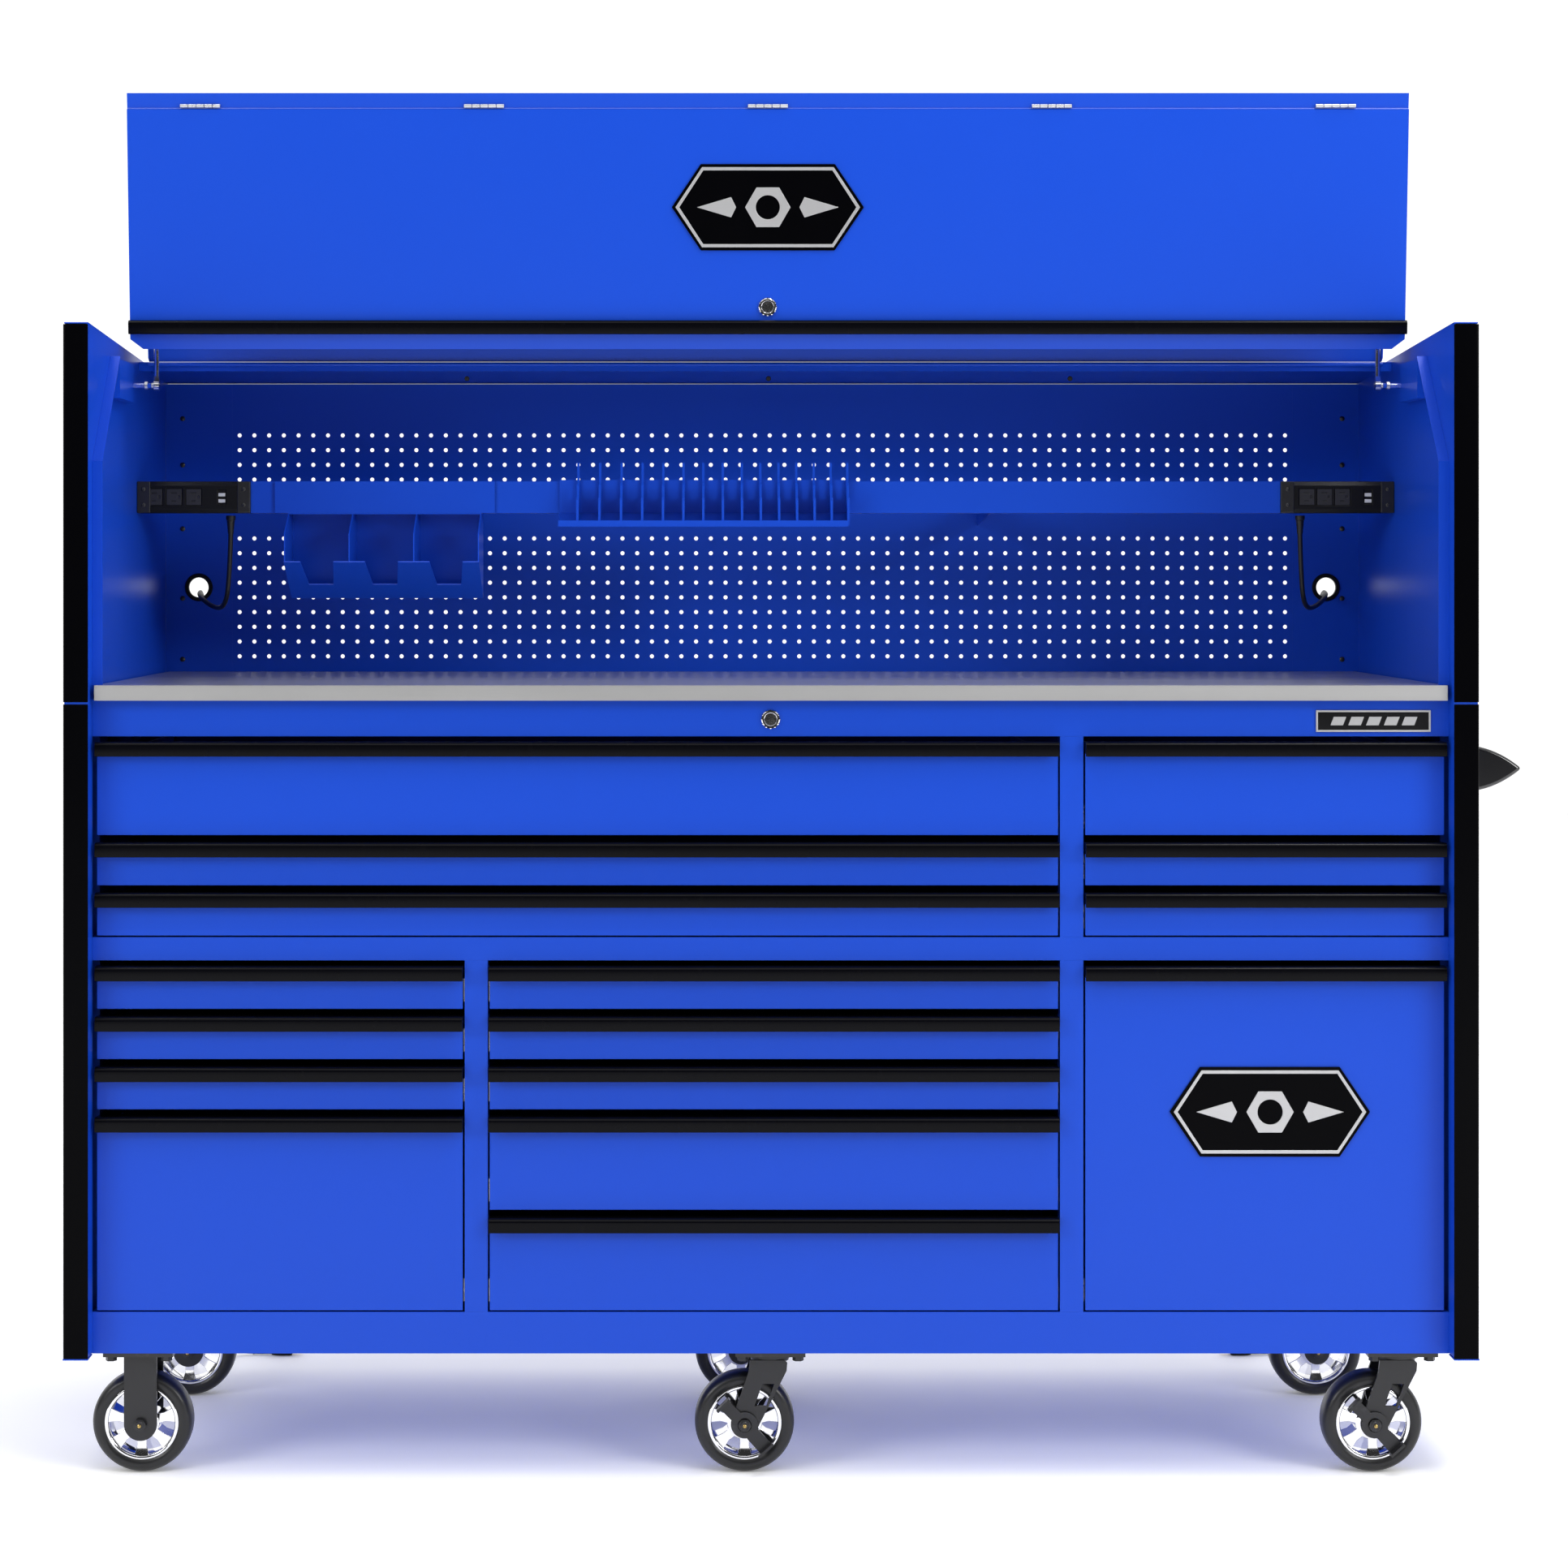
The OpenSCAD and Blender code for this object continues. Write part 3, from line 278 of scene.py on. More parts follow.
class Shape:
    """Closed solids of one piece, drawn in the chest's millimetres."""

    def __init__(self):
        self.mesh = bmesh.new()

    def prism(self, axis, outline, start, end):
        """An outline of (x, z), (depth, z) or (x, depth) points, pushed along the axis."""
        order = ORDER[axis]
        low = [self.mesh.verts.new(order(a, b, start)) for a, b in outline]
        high = [self.mesh.verts.new(order(a, b, end)) for a, b in outline]
        self.mesh.faces.new(low)
        self.mesh.faces.new(high[::-1])
        for i in range(len(low)):
            j = (i + 1) % len(low)
            self.mesh.faces.new((low[i], low[j], high[j], high[i]))
        return low + high

    def block(self, x0, x1, d0, d1, z0, z1):
        return self.prism("z", [(x0, d0), (x1, d0), (x1, d1), (x0, d1)], z0, z1)

    def lathe(self, axis, centre, profile, steps=48, ring=False):
        """(radius, along) points turned about an axis through the centre."""
        a0, b0, t0 = centre
        order = ORDER[axis]
        rings = []
        for radius, along in profile:
            if radius < 1e-6:
                rings.append([self.mesh.verts.new(order(a0, b0, t0 + along))])
                continue
            rings.append([
                self.mesh.verts.new(order(
                    a0 + radius * math.cos(math.tau * i / steps),
                    b0 + radius * math.sin(math.tau * i / steps),
                    t0 + along,
                ))
                for i in range(steps)
            ])
        pairs = list(zip(rings, rings[1:])) + ([(rings[-1], rings[0])] if ring else [])
        for near, far in pairs:
            for i in range(steps):
                j = (i + 1) % steps
                corners = [near[i % len(near)], near[j % len(near)], far[j % len(far)], far[i % len(far)]]
                unique = list(dict.fromkeys(corners))
                if len(unique) > 2:
                    self.mesh.faces.new(unique)

    def tube(self, points, radii, sides=20):
        """A round tube through points, with a radius at each."""
        points = [Vector(p) for p in points]
        rings = []
        for i, p in enumerate(points):
            along = (points[min(i + 1, len(points) - 1)] - points[max(i - 1, 0)]).normalized()
            side = along.cross(Vector((0, 0, 1)) if abs(along.z) < 0.9 else Vector((0, 1, 0)))
            side.normalize()
            up = side.cross(along)
            rings.append([
                self.mesh.verts.new(
                    p + radii[i] * (math.cos(math.tau * k / sides) * side
                                    + math.sin(math.tau * k / sides) * up)
                )
                for k in range(sides)
            ])
        for near, far in zip(rings, rings[1:]):
            for k in range(sides):
                j = (k + 1) % sides
                self.mesh.faces.new((near[k], near[j], far[j], far[k]))
        self.mesh.faces.new(rings[0])
        self.mesh.faces.new(rings[-1][::-1])

    def move(self, matrix):
        bmesh.ops.transform(self.mesh, matrix=matrix, verts=self.mesh.verts)
        return self

    def make(self, name, material, body="root", bevel=0.0, segments=2, slot=None, hides=(), cut=None):
        bm = self.mesh
        bmesh.ops.recalc_face_normals(bm, faces=bm.faces)
        bm.transform(Matrix.Translation(ORIGIN) @ Matrix.Scale(MM, 4))
        data = bpy.data.meshes.new(name)
        bm.to_mesh(data)
        bm.free()
        data.materials.append(material)
        obj = bpy.data.objects.new(name, data)
        bpy.context.collection.objects.link(obj)
        if cut is not None:
            carve(obj, cut)
        if bevel:
            round_edges(obj, bevel, segments)
        soften(obj.data)
        if hides:
            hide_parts(*hides)
        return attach(obj, body)


def soften(data, angle=32):
    """Shades a mesh smooth, apart from its edges over an angle in degrees."""
    data.polygons.foreach_set("use_smooth", [True] * len(data.polygons))
    data.set_sharp_from_angle(angle=math.radians(angle))


def round_edges(obj, width, segments=2):
    """Rounds a piece's sharp edges by a width in millimetres."""
    bevel = obj.modifiers.new("rounded", "BEVEL")
    bevel.width = width * MM
    bevel.segments = segments
    bevel.limit_method = "ANGLE"
    bevel.angle_limit = math.radians(28)
    bevel.harden_normals = True
    bevel.use_clamp_overlap = True


def carve(obj, shape):
    """Cuts a shape out of a piece and keeps the result as its mesh."""
    bm = shape.mesh
    bmesh.ops.recalc_face_normals(bm, faces=bm.faces)
    bm.transform(Matrix.Translation(ORIGIN) @ Matrix.Scale(MM, 4))
    data = bpy.data.meshes.new("cutter")
    bm.to_mesh(data)
    bm.free()
    cutter = bpy.data.objects.new("cutter", data)
    bpy.context.collection.objects.link(cutter)
    cut = obj.modifiers.new("cut", "BOOLEAN")
    cut.operation = "DIFFERENCE"
    cut.solver = "EXACT"
    cut.use_self = True
    cut.object = cutter
    bpy.context.view_layer.update()
    carved = bpy.data.meshes.new_from_object(obj.evaluated_get(bpy.context.evaluated_depsgraph_get()))
    obj.modifiers.clear()
    obj.data = carved
    bpy.data.objects.remove(cutter)


def arc(centre_a, centre_b, radius, start, end, steps=6):
    """Points of an outline on a round stretch, between two angles in degrees."""
    angles = [math.radians(start + (end - start) * i / steps) for i in range(steps + 1)]
    return [(centre_a + radius * math.cos(a), centre_b + radius * math.sin(a)) for a in angles]


def dress(node, material, bevel=0.4):
    """Gives a CAD node that stays in view its finish and soft edges."""
    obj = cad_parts[node]
    obj.data.materials.clear()
    obj.data.materials.append(material)
    if bevel:
        round_edges(obj, bevel)


# ----------------------------------------------------------------------------- cords

GLAND = (878, 82, 1464)
ROUTE = [
    (878, 82, 1464), (878, 82, 1440), (880, 88, 1405), (883, 96, 1370), (888, 112, 1340),
    (897, 138, 1322), (910, 172, 1316), (926, 210, 1318), (942, 250, 1324), (956, 290, 1331),
    (966, 330, 1337), (970, 362, 1340), (972, 385, 1339), (972, 405, 1328), (972, 416, 1305),
    (972, 418, 1270), (972, 418, 1100), (971, 418, 900), (970, 418, 700), (969, 418, 500),
    (968, 418, 300), (966, 419, 160), (962, 424, 90), (952, 440, 40), (932, 458, 14),
    (900, 470, 6), (860, 474, 4.5),
]


def smooth_line(route, spacing=12):
    line = []
    last = len(route) - 1
    for i in range(last):
        a, b = Vector(route[max(i - 1, 0)]), Vector(route[i])
        c, d = Vector(route[i + 1]), Vector(route[min(i + 2, last)])
        steps = max(1, round((c - b).length / spacing))
        for k in range(steps):
            t = k / steps
            line.append(0.5 * (2 * b + (c - a) * t + (2 * a - 5 * b + 4 * c - d) * t * t
                               + (3 * b - a - 3 * c + d) * t * t * t))
    line.append(Vector(route[last]))
    return line


def mains_lead(side, name):
    """One cord with its strain relief and its plug. The route's Y is already the row's own."""
    shift = Vector((-48, 0, 0))
    line = [(Vector((side * p.x, p.y, p.z)) + shift) * MM for p in smooth_line(ROUTE)]
    curve = bpy.data.curves.new(name + "_lead", "CURVE")
    curve.dimensions = "3D"
    curve.bevel_depth = 0.004
    curve.bevel_resolution = 4
    curve.use_fill_caps = True
    spline = curve.splines.new("POLY")
    spline.points.add(len(line) - 1)
    for point, place_at in zip(spline.points, line):
        point.co = (*place_at, 1)
    spline.use_smooth = True
    curve.materials.append(JACKET)
    lead = bpy.data.objects.new(name + "_lead", curve)
    bpy.context.collection.objects.link(lead)
    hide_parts(name + "_cord")
    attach(lead, "root")

    relief = Shape()
    x, d = side * GLAND[0], GLAND[1] + 381
    relief.lathe("z", (x, d, 1464), [
        (0, 4), (8, 4), (8, 0), (7.6, -3), (6.4, -4), (6.6, -7), (5.9, -8.5), (6.1, -12),
        (5.4, -13.5), (5.6, -17), (5.0, -18.5), (5.1, -22), (4.4, -26), (0, -26),
    ], 24)
    relief.make(name + "_strain_relief", JACKET, slot="cord_jacket")

    end = Vector((side * 860, 474 + 381, 0))
    out = -side
    plug = Shape()
    outline = [(0, -7), (6, -11.5), (14, -13), (32, -13), (36, -11), (36, 11), (32, 13), (14, 13),
               (6, 11.5), (0, 7)]
    plug.prism("z", [(end.x + out * a, end.y + b) for a, b in outline], 0.3, 24)
    for a in (10, 16, 22):
        plug.block(
            *sorted((end.x + out * a, end.x + out * (a + 2.6))),
            end.y - 12.9, end.y + 12.9, 0.4, 23.6,
        )
    body = plug.make(
        name + "_plug_body", PLASTIC, bevel=2.6, segments=4, slot="black_plastic",
        hides=(name + "_plug",),
    )
    sleeve = Shape()
    steps = 7
    sleeve.tube(
        [(end.x - out * (34 - 5.5 * i), end.y - 1.5 + i * 0.25, 4.7 + i * 0.9) for i in range(steps)],
        [4.35 + 0.5 * i - (0.25 if i % 2 else 0) for i in range(steps)],
    )
    boot = sleeve.make(name + "_plug_boot", JACKET, slot="cord_jacket")
    prongs = Shape()
    for y in (-6.4, 6.4):
        prongs.block(
            *sorted((end.x + out * 36, end.x + out * 52)), end.y + y - 0.8, end.y + y + 0.8, 9, 15
        )
    prongs.tube(
        [(end.x + out * a, end.y, 4) for a in (36, 52, 54.4)], [2.4, 2.4, 1.2], 16,
    )
    pins = prongs.make(name + "_plug_prongs", BRASS, bevel=0.3)


# --------------------------------------------------------------------------- drawers


def stack(x0, x1, z0, counts):
    slots, z = [], z0
    for c in counts:
        slots.append((x0, x1, z, z + c * MODULE))
        z += c * MODULE
    return slots[::-1]


DRAWERS = [
    ("upper_left_drawer", stack(-EDGE_X, DIVIDER_2[0], UPPER_Z, (1, 1, 2))),
    ("upper_right_drawer", stack(DIVIDER_2[1], EDGE_X, UPPER_Z, (1, 1, 2))),
    ("lower_left_drawer", stack(-EDGE_X, DIVIDER_1[0], LOWER_Z, (4, 1, 1, 1))),
    ("lower_middle_drawer", stack(DIVIDER_1[1], DIVIDER_2[0], LOWER_Z, (2, 2, 1, 1, 1))),
    ("lower_right_drawer", stack(DIVIDER_2[1], EDGE_X, LOWER_Z, (7,))),
]
PULL_H = 18
PULL_OUT = 18
SIDE_GAP = 3
BOTTOM_GAP = 2.5
TOP_GAP = 8
SLIDE_W = 12.7
FOLD_D = 16
BOX_DEPTH = 670
RAIL_LEN = 640
SHEET = 1.2


def drawer(name, slot):
    left, right, bottom, top = slot
    x0, x1 = left + SIDE_GAP, right - SIDE_GAP
    z0, pull_z = bottom + BOTTOM_GAP, top - TOP_GAP - PULL_H
    bx0, bx1 = left + SLIDE_W, right - SLIDE_W
    front, back = FACE + FOLD_D, FACE + FOLD_D + BOX_DEPTH
    floor_z = z0 + SHEET + 0.1
    rim_z = pull_z - 4

    face = Shape()
    face.block(x0, x1, FACE, FACE + 1.9, z0, pull_z - 0.1)
    face.block(x0, x1, FACE + 2, front - 0.2, z0, z0 + SHEET)
    for x in (x0, x1 - SHEET):
        face.block(x, x + SHEET, FACE + 2, front - 0.2, floor_z, pull_z - 0.1)
    face.make(name + "_face", BLUE, name, bevel=0.8, slot="blue_paint", hides=(name,))

    box = Shape()
    box.block(bx0, bx1, front, front + SHEET, floor_z, pull_z - 2)
    box.block(bx0, bx1, front, back, z0, z0 + SHEET)
    box.block(bx0, bx0 + SHEET, front + SHEET + 0.1, back, floor_z, rim_z)
    box.block(bx1 - SHEET, bx1, front + SHEET + 0.1, back, floor_z, rim_z)
    box.block(bx0 + SHEET + 0.1, bx1 - SHEET - 0.1, back - SHEET, back, floor_z, rim_z)
    for x in (bx0 + 1.4, bx1 - 1.4):
        box.tube([(x, front + 2, rim_z + 0.4), (x, back - 1, rim_z + 0.4)], [1.4, 1.4], 12)
    box.tube([(bx0 + 2, back - 1.4, rim_z + 0.4), (bx1 - 2, back - 1.4, rim_z + 0.4)], [1.4, 1.4], 12)
    ribs = max(2, int((bx1 - bx0) / 220))
    for i in range(ribs):
        x = bx0 + (i + 0.5) * (bx1 - bx0) / ribs
        box.prism("x", [
            (front + 40, z0 + 1.2), (front + 44, z0 + 2.6), (back - 44, z0 + 2.6), (back - 40, z0 + 1.2)
        ], x - 5, x + 5)
    box.make(name + "_box", BLUE, name, bevel=0.3, slot="blue_paint")

    pull = Shape()
    outline = (
        [(FACE + 17.8, pull_z), (FACE + 17.8, pull_z + PULL_H - 1)]
        + [(FACE + 6, pull_z + PULL_H - 1), (FACE + 4, pull_z + PULL_H)]
        + arc(FACE - PULL_OUT + 6.5, pull_z + PULL_H - 6.5, 6.5, 90, 180, 8)
        + arc(FACE - PULL_OUT + 1.6, pull_z - 2.4, 1.6, 180, 330, 6)
        + [(FACE - PULL_OUT + 6, pull_z + 1.5), (FACE - PULL_OUT + 10, pull_z + 4),
           (FACE - 3, pull_z + 3), (FACE - 0.1, pull_z)]
    )
    pull.prism("x", outline, x0 - 0.9, x1 + 0.9)
    pull.make(name + "_pull", BLACK_TRIM, name, bevel=0.5, slot="black_trim")

    rails = Shape()
    rail_z = bottom + 10.5
    for x, out in ((bx0, -1), (bx1, 1)):
        outline = [
            (x, rail_z + 3), (x + out * 6.4, rail_z + 3), (x + out * 6.4, rail_z + 9),
            (x + out * 5.2, rail_z + 9), (x + out * 5.2, rail_z + 4.2), (x + out * 1.2, rail_z + 4.2),
            (x + out * 1.2, rail_z + 30.8), (x + out * 5.2, rail_z + 30.8),
            (x + out * 5.2, rail_z + 26), (x + out * 6.4, rail_z + 26), (x + out * 6.4, rail_z + 32),
            (x, rail_z + 32),
        ]
        rails.prism("d", outline, FACE + 26.2, FACE + 26 + RAIL_LEN)
    rails.make(name + "_rails", ZINC, name, bevel=0.3, slot="zinc_steel")


# --------------------------------------------------------------- cabinet, hutch, lid


def posts():
    for (z0, z1), name, node in (
        (LOWER_POSTS, "lower_posts", "front_posts"),
        (UPPER_POSTS, "upper_posts", "hutch_posts"),
    ):
        shape = Shape()
        for side in (-1, 1):
            outline = (
                [(side * INNER_X, 0.1)]
                + [(side * a, b) for a, b in arc(HALF_W - 4.1, 4.1, 4, -90, 0, 5)]
                + [(side * (HALF_W - 0.1), FACE - 0.2), (side * (HALF_W - 1.9), FACE - 0.2),
                   (side * (HALF_W - 1.9), 1.9), (side * INNER_X, 1.9)]
            )
            shape.prism("z", outline, z0, z1)
        shape.make(name, BLACK_POST, bevel=0.5, slot="black_trim", hides=(node,))


def lock(z, d):
    """The chromed bezel of a lock, with a notched rim."""
    shape = Shape()
    shape.lathe("d", (0, z, d), [
        (9.2, 12), (9.2, -3.4), (10.2, -4.8), (12.6, -4.8), (14.0, -3.8), (15.3, -0.6), (15.3, 0.0),
        (13.0, 0.3), (13.0, 12),
    ], 48, ring=True)
    for i in range(12):
        a = math.radians(30 * i)
        shape.lathe("d", (13.2 * math.cos(a), z + 13.2 * math.sin(a), d), [
            (0, -4.6), (1.5, -4.4), (2.0, -3.2), (2.0, 0), (0, 0),
        ], 12)
    return shape


def panel_matrix():
    """Turns a shape drawn on the closed panel's plane to the open one's place."""
    return (
        Matrix.Translation((0, *PANEL_HINGE_OPEN))
        @ Matrix.Rotation(math.radians(PANEL_LEAN), 4, "X")
        @ Matrix.Translation((0, -PANEL_HINGE[0], -PANEL_HINGE[1]))
    )


def locks():
    lock(BASE_LOCK_Z, FACE).make(
        "base_lock_ring", CHROME, slot="chrome_parts", hides=("base_lock_bezel",)
    )
    lock(LID_LOCK_Z, PANEL_HINGE[0]).move(panel_matrix()).make(
        "lid_lock_ring", CHROME, "lid_panel", slot="chrome_parts", hides=("lid_lock_bezel",)
    )
    for node in ("base_lock_plug", "lid_lock_plug"):
        dress(node, CHROME, 0.3)


def lid_trim():
    front, z1 = PANEL_HINGE[0], PANEL_HINGE[1] - PANEL_LEN
    outline = (
        [(front, z1), (front - 6, z1)]
        + arc(front - 12, z1 - 6, 6, 90, 180, 6)
        + arc(front - 15, z1 - LID_PULL_H + 3, 3, 180, 270, 5)
        + [(front, z1 - LID_PULL_H)]
    )
    shape = Shape()
    shape.prism("x", outline, -LID_HALF_W, LID_HALF_W)
    shape.move(panel_matrix()).make(
        "lid_handle_rail", BLACK_TRIM, "lid_panel", bevel=0.5, slot="black_trim", hides=("lid_pull",)
    )


def roof_matrix():
    """Turns a shape drawn on the closed roof to the open one's place."""
    return (
        Matrix.Translation((0, *ROOF_HINGE))
        @ Matrix.Rotation(math.radians(-ROOF_SWING), 4, "X")
        @ Matrix.Translation((0, -ROOF_HINGE[0], -ROOF_HINGE[1]))
    )


def hinges():
    """Five hinges of five knuckles along the roof's front edge."""
    pitch, knuckle = 448, 12.8
    shape = Shape()
    for i in range(5):
        start = (i - 2) * pitch - 2.5 * knuckle
        for k in range(5):
            shape.lathe("x", (*PANEL_HINGE, start + knuckle * k), [
                (0, 0.3), (2.7, 0.3), (3.2, 0.8), (3.2, 12.0), (2.7, 12.5), (0, 12.5)
            ], 24)
    shape.move(roof_matrix()).make(
        "lid_hinge_barrels", ZINC, "lid_roof", slot="zinc_steel", hides=("lid_hinges",)
    )


def plaque(name, body, x, z, d, width, height, matrix=None):
    """A plain six-sided plate with a raised rim, a hexagon and a wedge at each side."""
    def hexagon(w, h, slant):
        return [(x - w / 2, z), (x - w / 2 + slant, z + h / 2), (x + w / 2 - slant, z + h / 2),
                (x + w / 2, z), (x + w / 2 - slant, z - h / 2), (x - w / 2 + slant, z - h / 2)]

    back = Shape()
    back.prism("d", hexagon(width, height, 46), d - 3.4, d - 0.1)
    front = Shape()
    cut = Shape()
    front.prism("d", hexagon(width - 12, height - 10, 42), d - 4.6, d - 3.2)
    cut.prism("d", hexagon(width - 24, height - 20, 38), d - 6, d - 2)
    wedges = Shape()
    for side in (-1, 1):
        wedges.prism("d", [
            (x + side * 50, z), (x + side * 58, z - 16), (x + side * 112, z),
            (x + side * 58, z + 16),
        ], d - 4.8, d - 3.2)
    nut = Shape()
    nut.prism("d", [
        (x + 36 * math.cos(math.radians(60 * k)), z + 36 * math.sin(math.radians(60 * k)))
        for k in range(6)
    ], d - 5.2, d - 3.2)
    bore = Shape()
    bore.lathe("d", (x, z, d), [(0, -6), (19, -6), (19, -2), (0, -2)], 40)
    parts = [
        (back, "back", BLACK_POST, 1.0, None), (front, "rim", SILVER, 0.5, cut),
        (wedges, "wedges", SILVER, 0.6, None), (nut, "nut", SILVER, 0.8, bore),
    ]
    for shape, part, material, bevel, hole in parts:
        if matrix:
            shape.move(matrix)
            if hole:
                hole.move(matrix)
        shape.make(f"{name}_{part}", material, body, bevel=bevel, cut=hole)


def badge():
    x0, x1, z0, z1 = 827, 1001, 1133, 1166
    rim, hole = Shape(), Shape()
    rim.block(x0, x1, FACE - 2.8, FACE - 0.1, z0, z1)
    hole.block(x0 + 3, x1 - 3, FACE - 4, FACE + 1, z0 + 3, z1 - 3)
    rim.make("badge_rim", SILVER, bevel=0.5, cut=hole)
    plate = Shape()
    plate.block(x0 + 3.1, x1 - 3.1, FACE - 1.6, FACE - 0.1, z0 + 3.1, z1 - 3.1)
    plate.make("badge_plate", BLACK_GLOSS, bevel=0.2)
    bars = Shape()
    for i in range(5):
        x = x0 + 22 + i * 27
        bars.prism("d", [(x, z0 + 10), (x + 19, z0 + 10), (x + 24, z1 - 10), (x + 5, z1 - 10)],
                   FACE - 2.2, FACE - 1.5)
    bars.make("badge_bars", SILVER, bevel=0.3)


def power_strip(side, name):
    """A socket strip with three outlets, a USB port and an end bracket at each end."""
    front = 441
    x0, x1 = (842.8, 1028.7) if side > 0 else (-1028.7, -842.8)
    z0, z1 = 1472.1, 1523.9
    sockets = (886, 915, 944) if side > 0 else (-1000, -968, -936)
    usb = 986 if side > 0 else -890
    body, cut = Shape(), Shape()
    outline = [(front + 4, z0), (front + 43.8, z0), (front + 43.8, z1), (front + 6, z1),
               (front + 0.1, z1 - 7), (front + 0.1, z0 + 6)]
    body.prism("x", outline, x0 + 0.2, x1 - 0.2)
    for x in sockets:
        cut.block(x - 13, x + 13, front - 2, front + 2.2, z0 + 12, z0 + 40)
    cut.block(usb - 7, usb + 7, front - 2, front + 3, z0 + 14, z0 + 38)
    body.make(name + "_housing", PLASTIC, bevel=1.2, segments=3, slot="black_plastic",
              hides=(name,), cut=cut)
    face, slots = Shape(), Shape()
    for x in sockets:
        face.block(x - 12.2, x + 12.2, front + 0.4, front + 2.6, z0 + 12.8, z0 + 39.2)
        slots.block(x - 5.4, x + 3.6, front - 1, front + 2, z0 + 31.5, z0 + 33.4)
        slots.block(x - 4.2, x + 2.4, front - 1, front + 2, z0 + 18.6, z0 + 20.4)
        slots.lathe("d", (x + 7.4, z0 + 26, front), [(0, -1), (2.6, -1), (2.6, 2), (0, 2)], 16)
    face.make(name + "_outlets", OUTLET, bevel=0.6, cut=slots)
    port = Shape()
    for dz in (17, 27):
        port.block(usb - 5.6, usb + 5.6, front + 1.4, front + 3.2, z0 + dz, z0 + dz + 5.6)
    port.make(name + "_usb", PALE, bevel=0.4)
    brackets = Shape()
    for a, b in ((x0, x0 + 22), (x1 - 22, x1)):
        brackets.prism("x", [
            (front - 1.2, z0 + 0.4), (front + 4, z0), (front + 4, z1), (front - 1.2, z1 - 0.4)
        ], a + 0.1, b - 0.1)
    brackets.make(name + "_brackets", BLACK_STEEL, bevel=1.4, segments=3)
    screws = Shape()
    for x in (x0 + 11, x1 - 11):
        for z in (z0 + 13, z1 - 13):
            screws.lathe("d", (x, z, front - 1.2), [
                (0, -1.4), (1.6, -1.9), (3.2, -1.2), (3.6, 0.2), (0, 0.2)
            ], 18)
    screws.make(name + "_screws", BLACK_STEEL)


def grommets():
    shape = Shape()
    for side in (-1, 1):
        shape.lathe("d", (side * 972, 1349, PEG_D), [
            (17.0, -3.0), (18.0, -4.0), (22.0, -4.0), (23.8, -2.2), (24.0, -0.1), (21.9, -0.1),
            (21.9, 2.1), (24.0, 2.1), (23.8, 4.4), (22.0, 5.9), (18.0, 5.9), (17.0, 4.8),
        ], 56, ring=True)
    shape.make("grommet_rings", PLASTIC, slot="black_plastic", hides=("cord_grommets",))


def side_handle():
    """A tube between two pointed end plates on the right wall."""
    tube_x, z = HALF_W + 72, 1072
    ends = Shape()
    reach, height = 95.9, 36.4
    upper = [
        (HALF_W + 0.1 + (reach - 0.1) * t, z + height * (1 - t ** 2.2))
        for t in (i / 12 for i in range(12))
    ]
    outline = upper + [(HALF_W + reach, z)] + [(x, 2 * z - h) for x, h in upper[::-1]]
    for d in (130, 620):
        ends.prism("d", outline, d + 0.1, d + 13.9)
    ends.make("handle_ends", BLACK_GLOSS, bevel=5.5, segments=5, slot="black_trim",
              hides=("side_handle",))
    tube = Shape()
    tube.lathe("d", (tube_x, z, 0), [(0, 136), (13.9, 136), (13.9, 628), (0, 628)], 40)
    tube.make("handle_tube", BLACK_GLOSS, bevel=0.4, slot="black_trim")
    caps = Shape()
    for d in (137, 627):
        for dz in (-24, 24):
            caps.lathe("x", (d, z + dz, HALF_W + 4), [
                (0, 6), (2.5, 5.6), (4.6, 4), (5, 2), (5, 0), (0, 0)
            ], 18)
    caps.make("handle_screws", BLACK_STEEL)


def ball_studs():
    shape = Shape()
    for side in (-1, 1):
        shape.lathe("x", (311, 1673, side * 975), [
            (0, side * 3.0), (3.0, side * 3.2), (4.6, side * 5.0), (4.6, side * 8), (3.2, side * 9.5),
            (3.0, side * 14), (6.4, side * 14.2), (6.4, side * 19), (4.0, side * 19.5),
            (4.0, side * 37.8), (0, side * 37.8),
        ], 32)
    shape.make("strut_ball_studs", ZINC)


def screws_and_rivets():
    """Small fasteners on the hutch: the rear corner strips, the lid stops and the flanges."""
    shape = Shape()
    for side in (-1, 1):
        for z in (1225, 1330, 1450, 1560, 1640):
            shape.lathe("d", (side * 1000, z, PEG_D), [
                (0, -2.6), (2.4, -2.3), (4.2, -1), (4.4, 0), (0, 0)
            ], 16)
        for z in (1300, 1440):
            shape.lathe("x", (90, z, side * 1028.6), [
                (0, -side * 2.4), (2.4, -side * 2.1), (4.2, -side * 0.9), (4.4, 0.1), (0, 0.1)
            ], 16)
    for x in (-490, 5, 500):
        shape.lathe("d", (x, 1693, 460), [(0, -1.6), (3.4, -1.4), (4.2, 0), (0, 0)], 16)
    shape.make("hutch_screws", BLACK_STEEL)


# --------------------------------------------------------------------------- casters

SWIVELS = [("front_centre", 0, 95), ("front_right", 960, 95), ("rear_centre", 0, 576),
           ("rear_right", 960, 576)]
RIGIDS = [("front_left", -960, 95), ("rear_left", -960, 576)]
TRAIL = 39
AXLE_Z = 76.2
SPOKES = 7
BOLT_FACE = 41.4


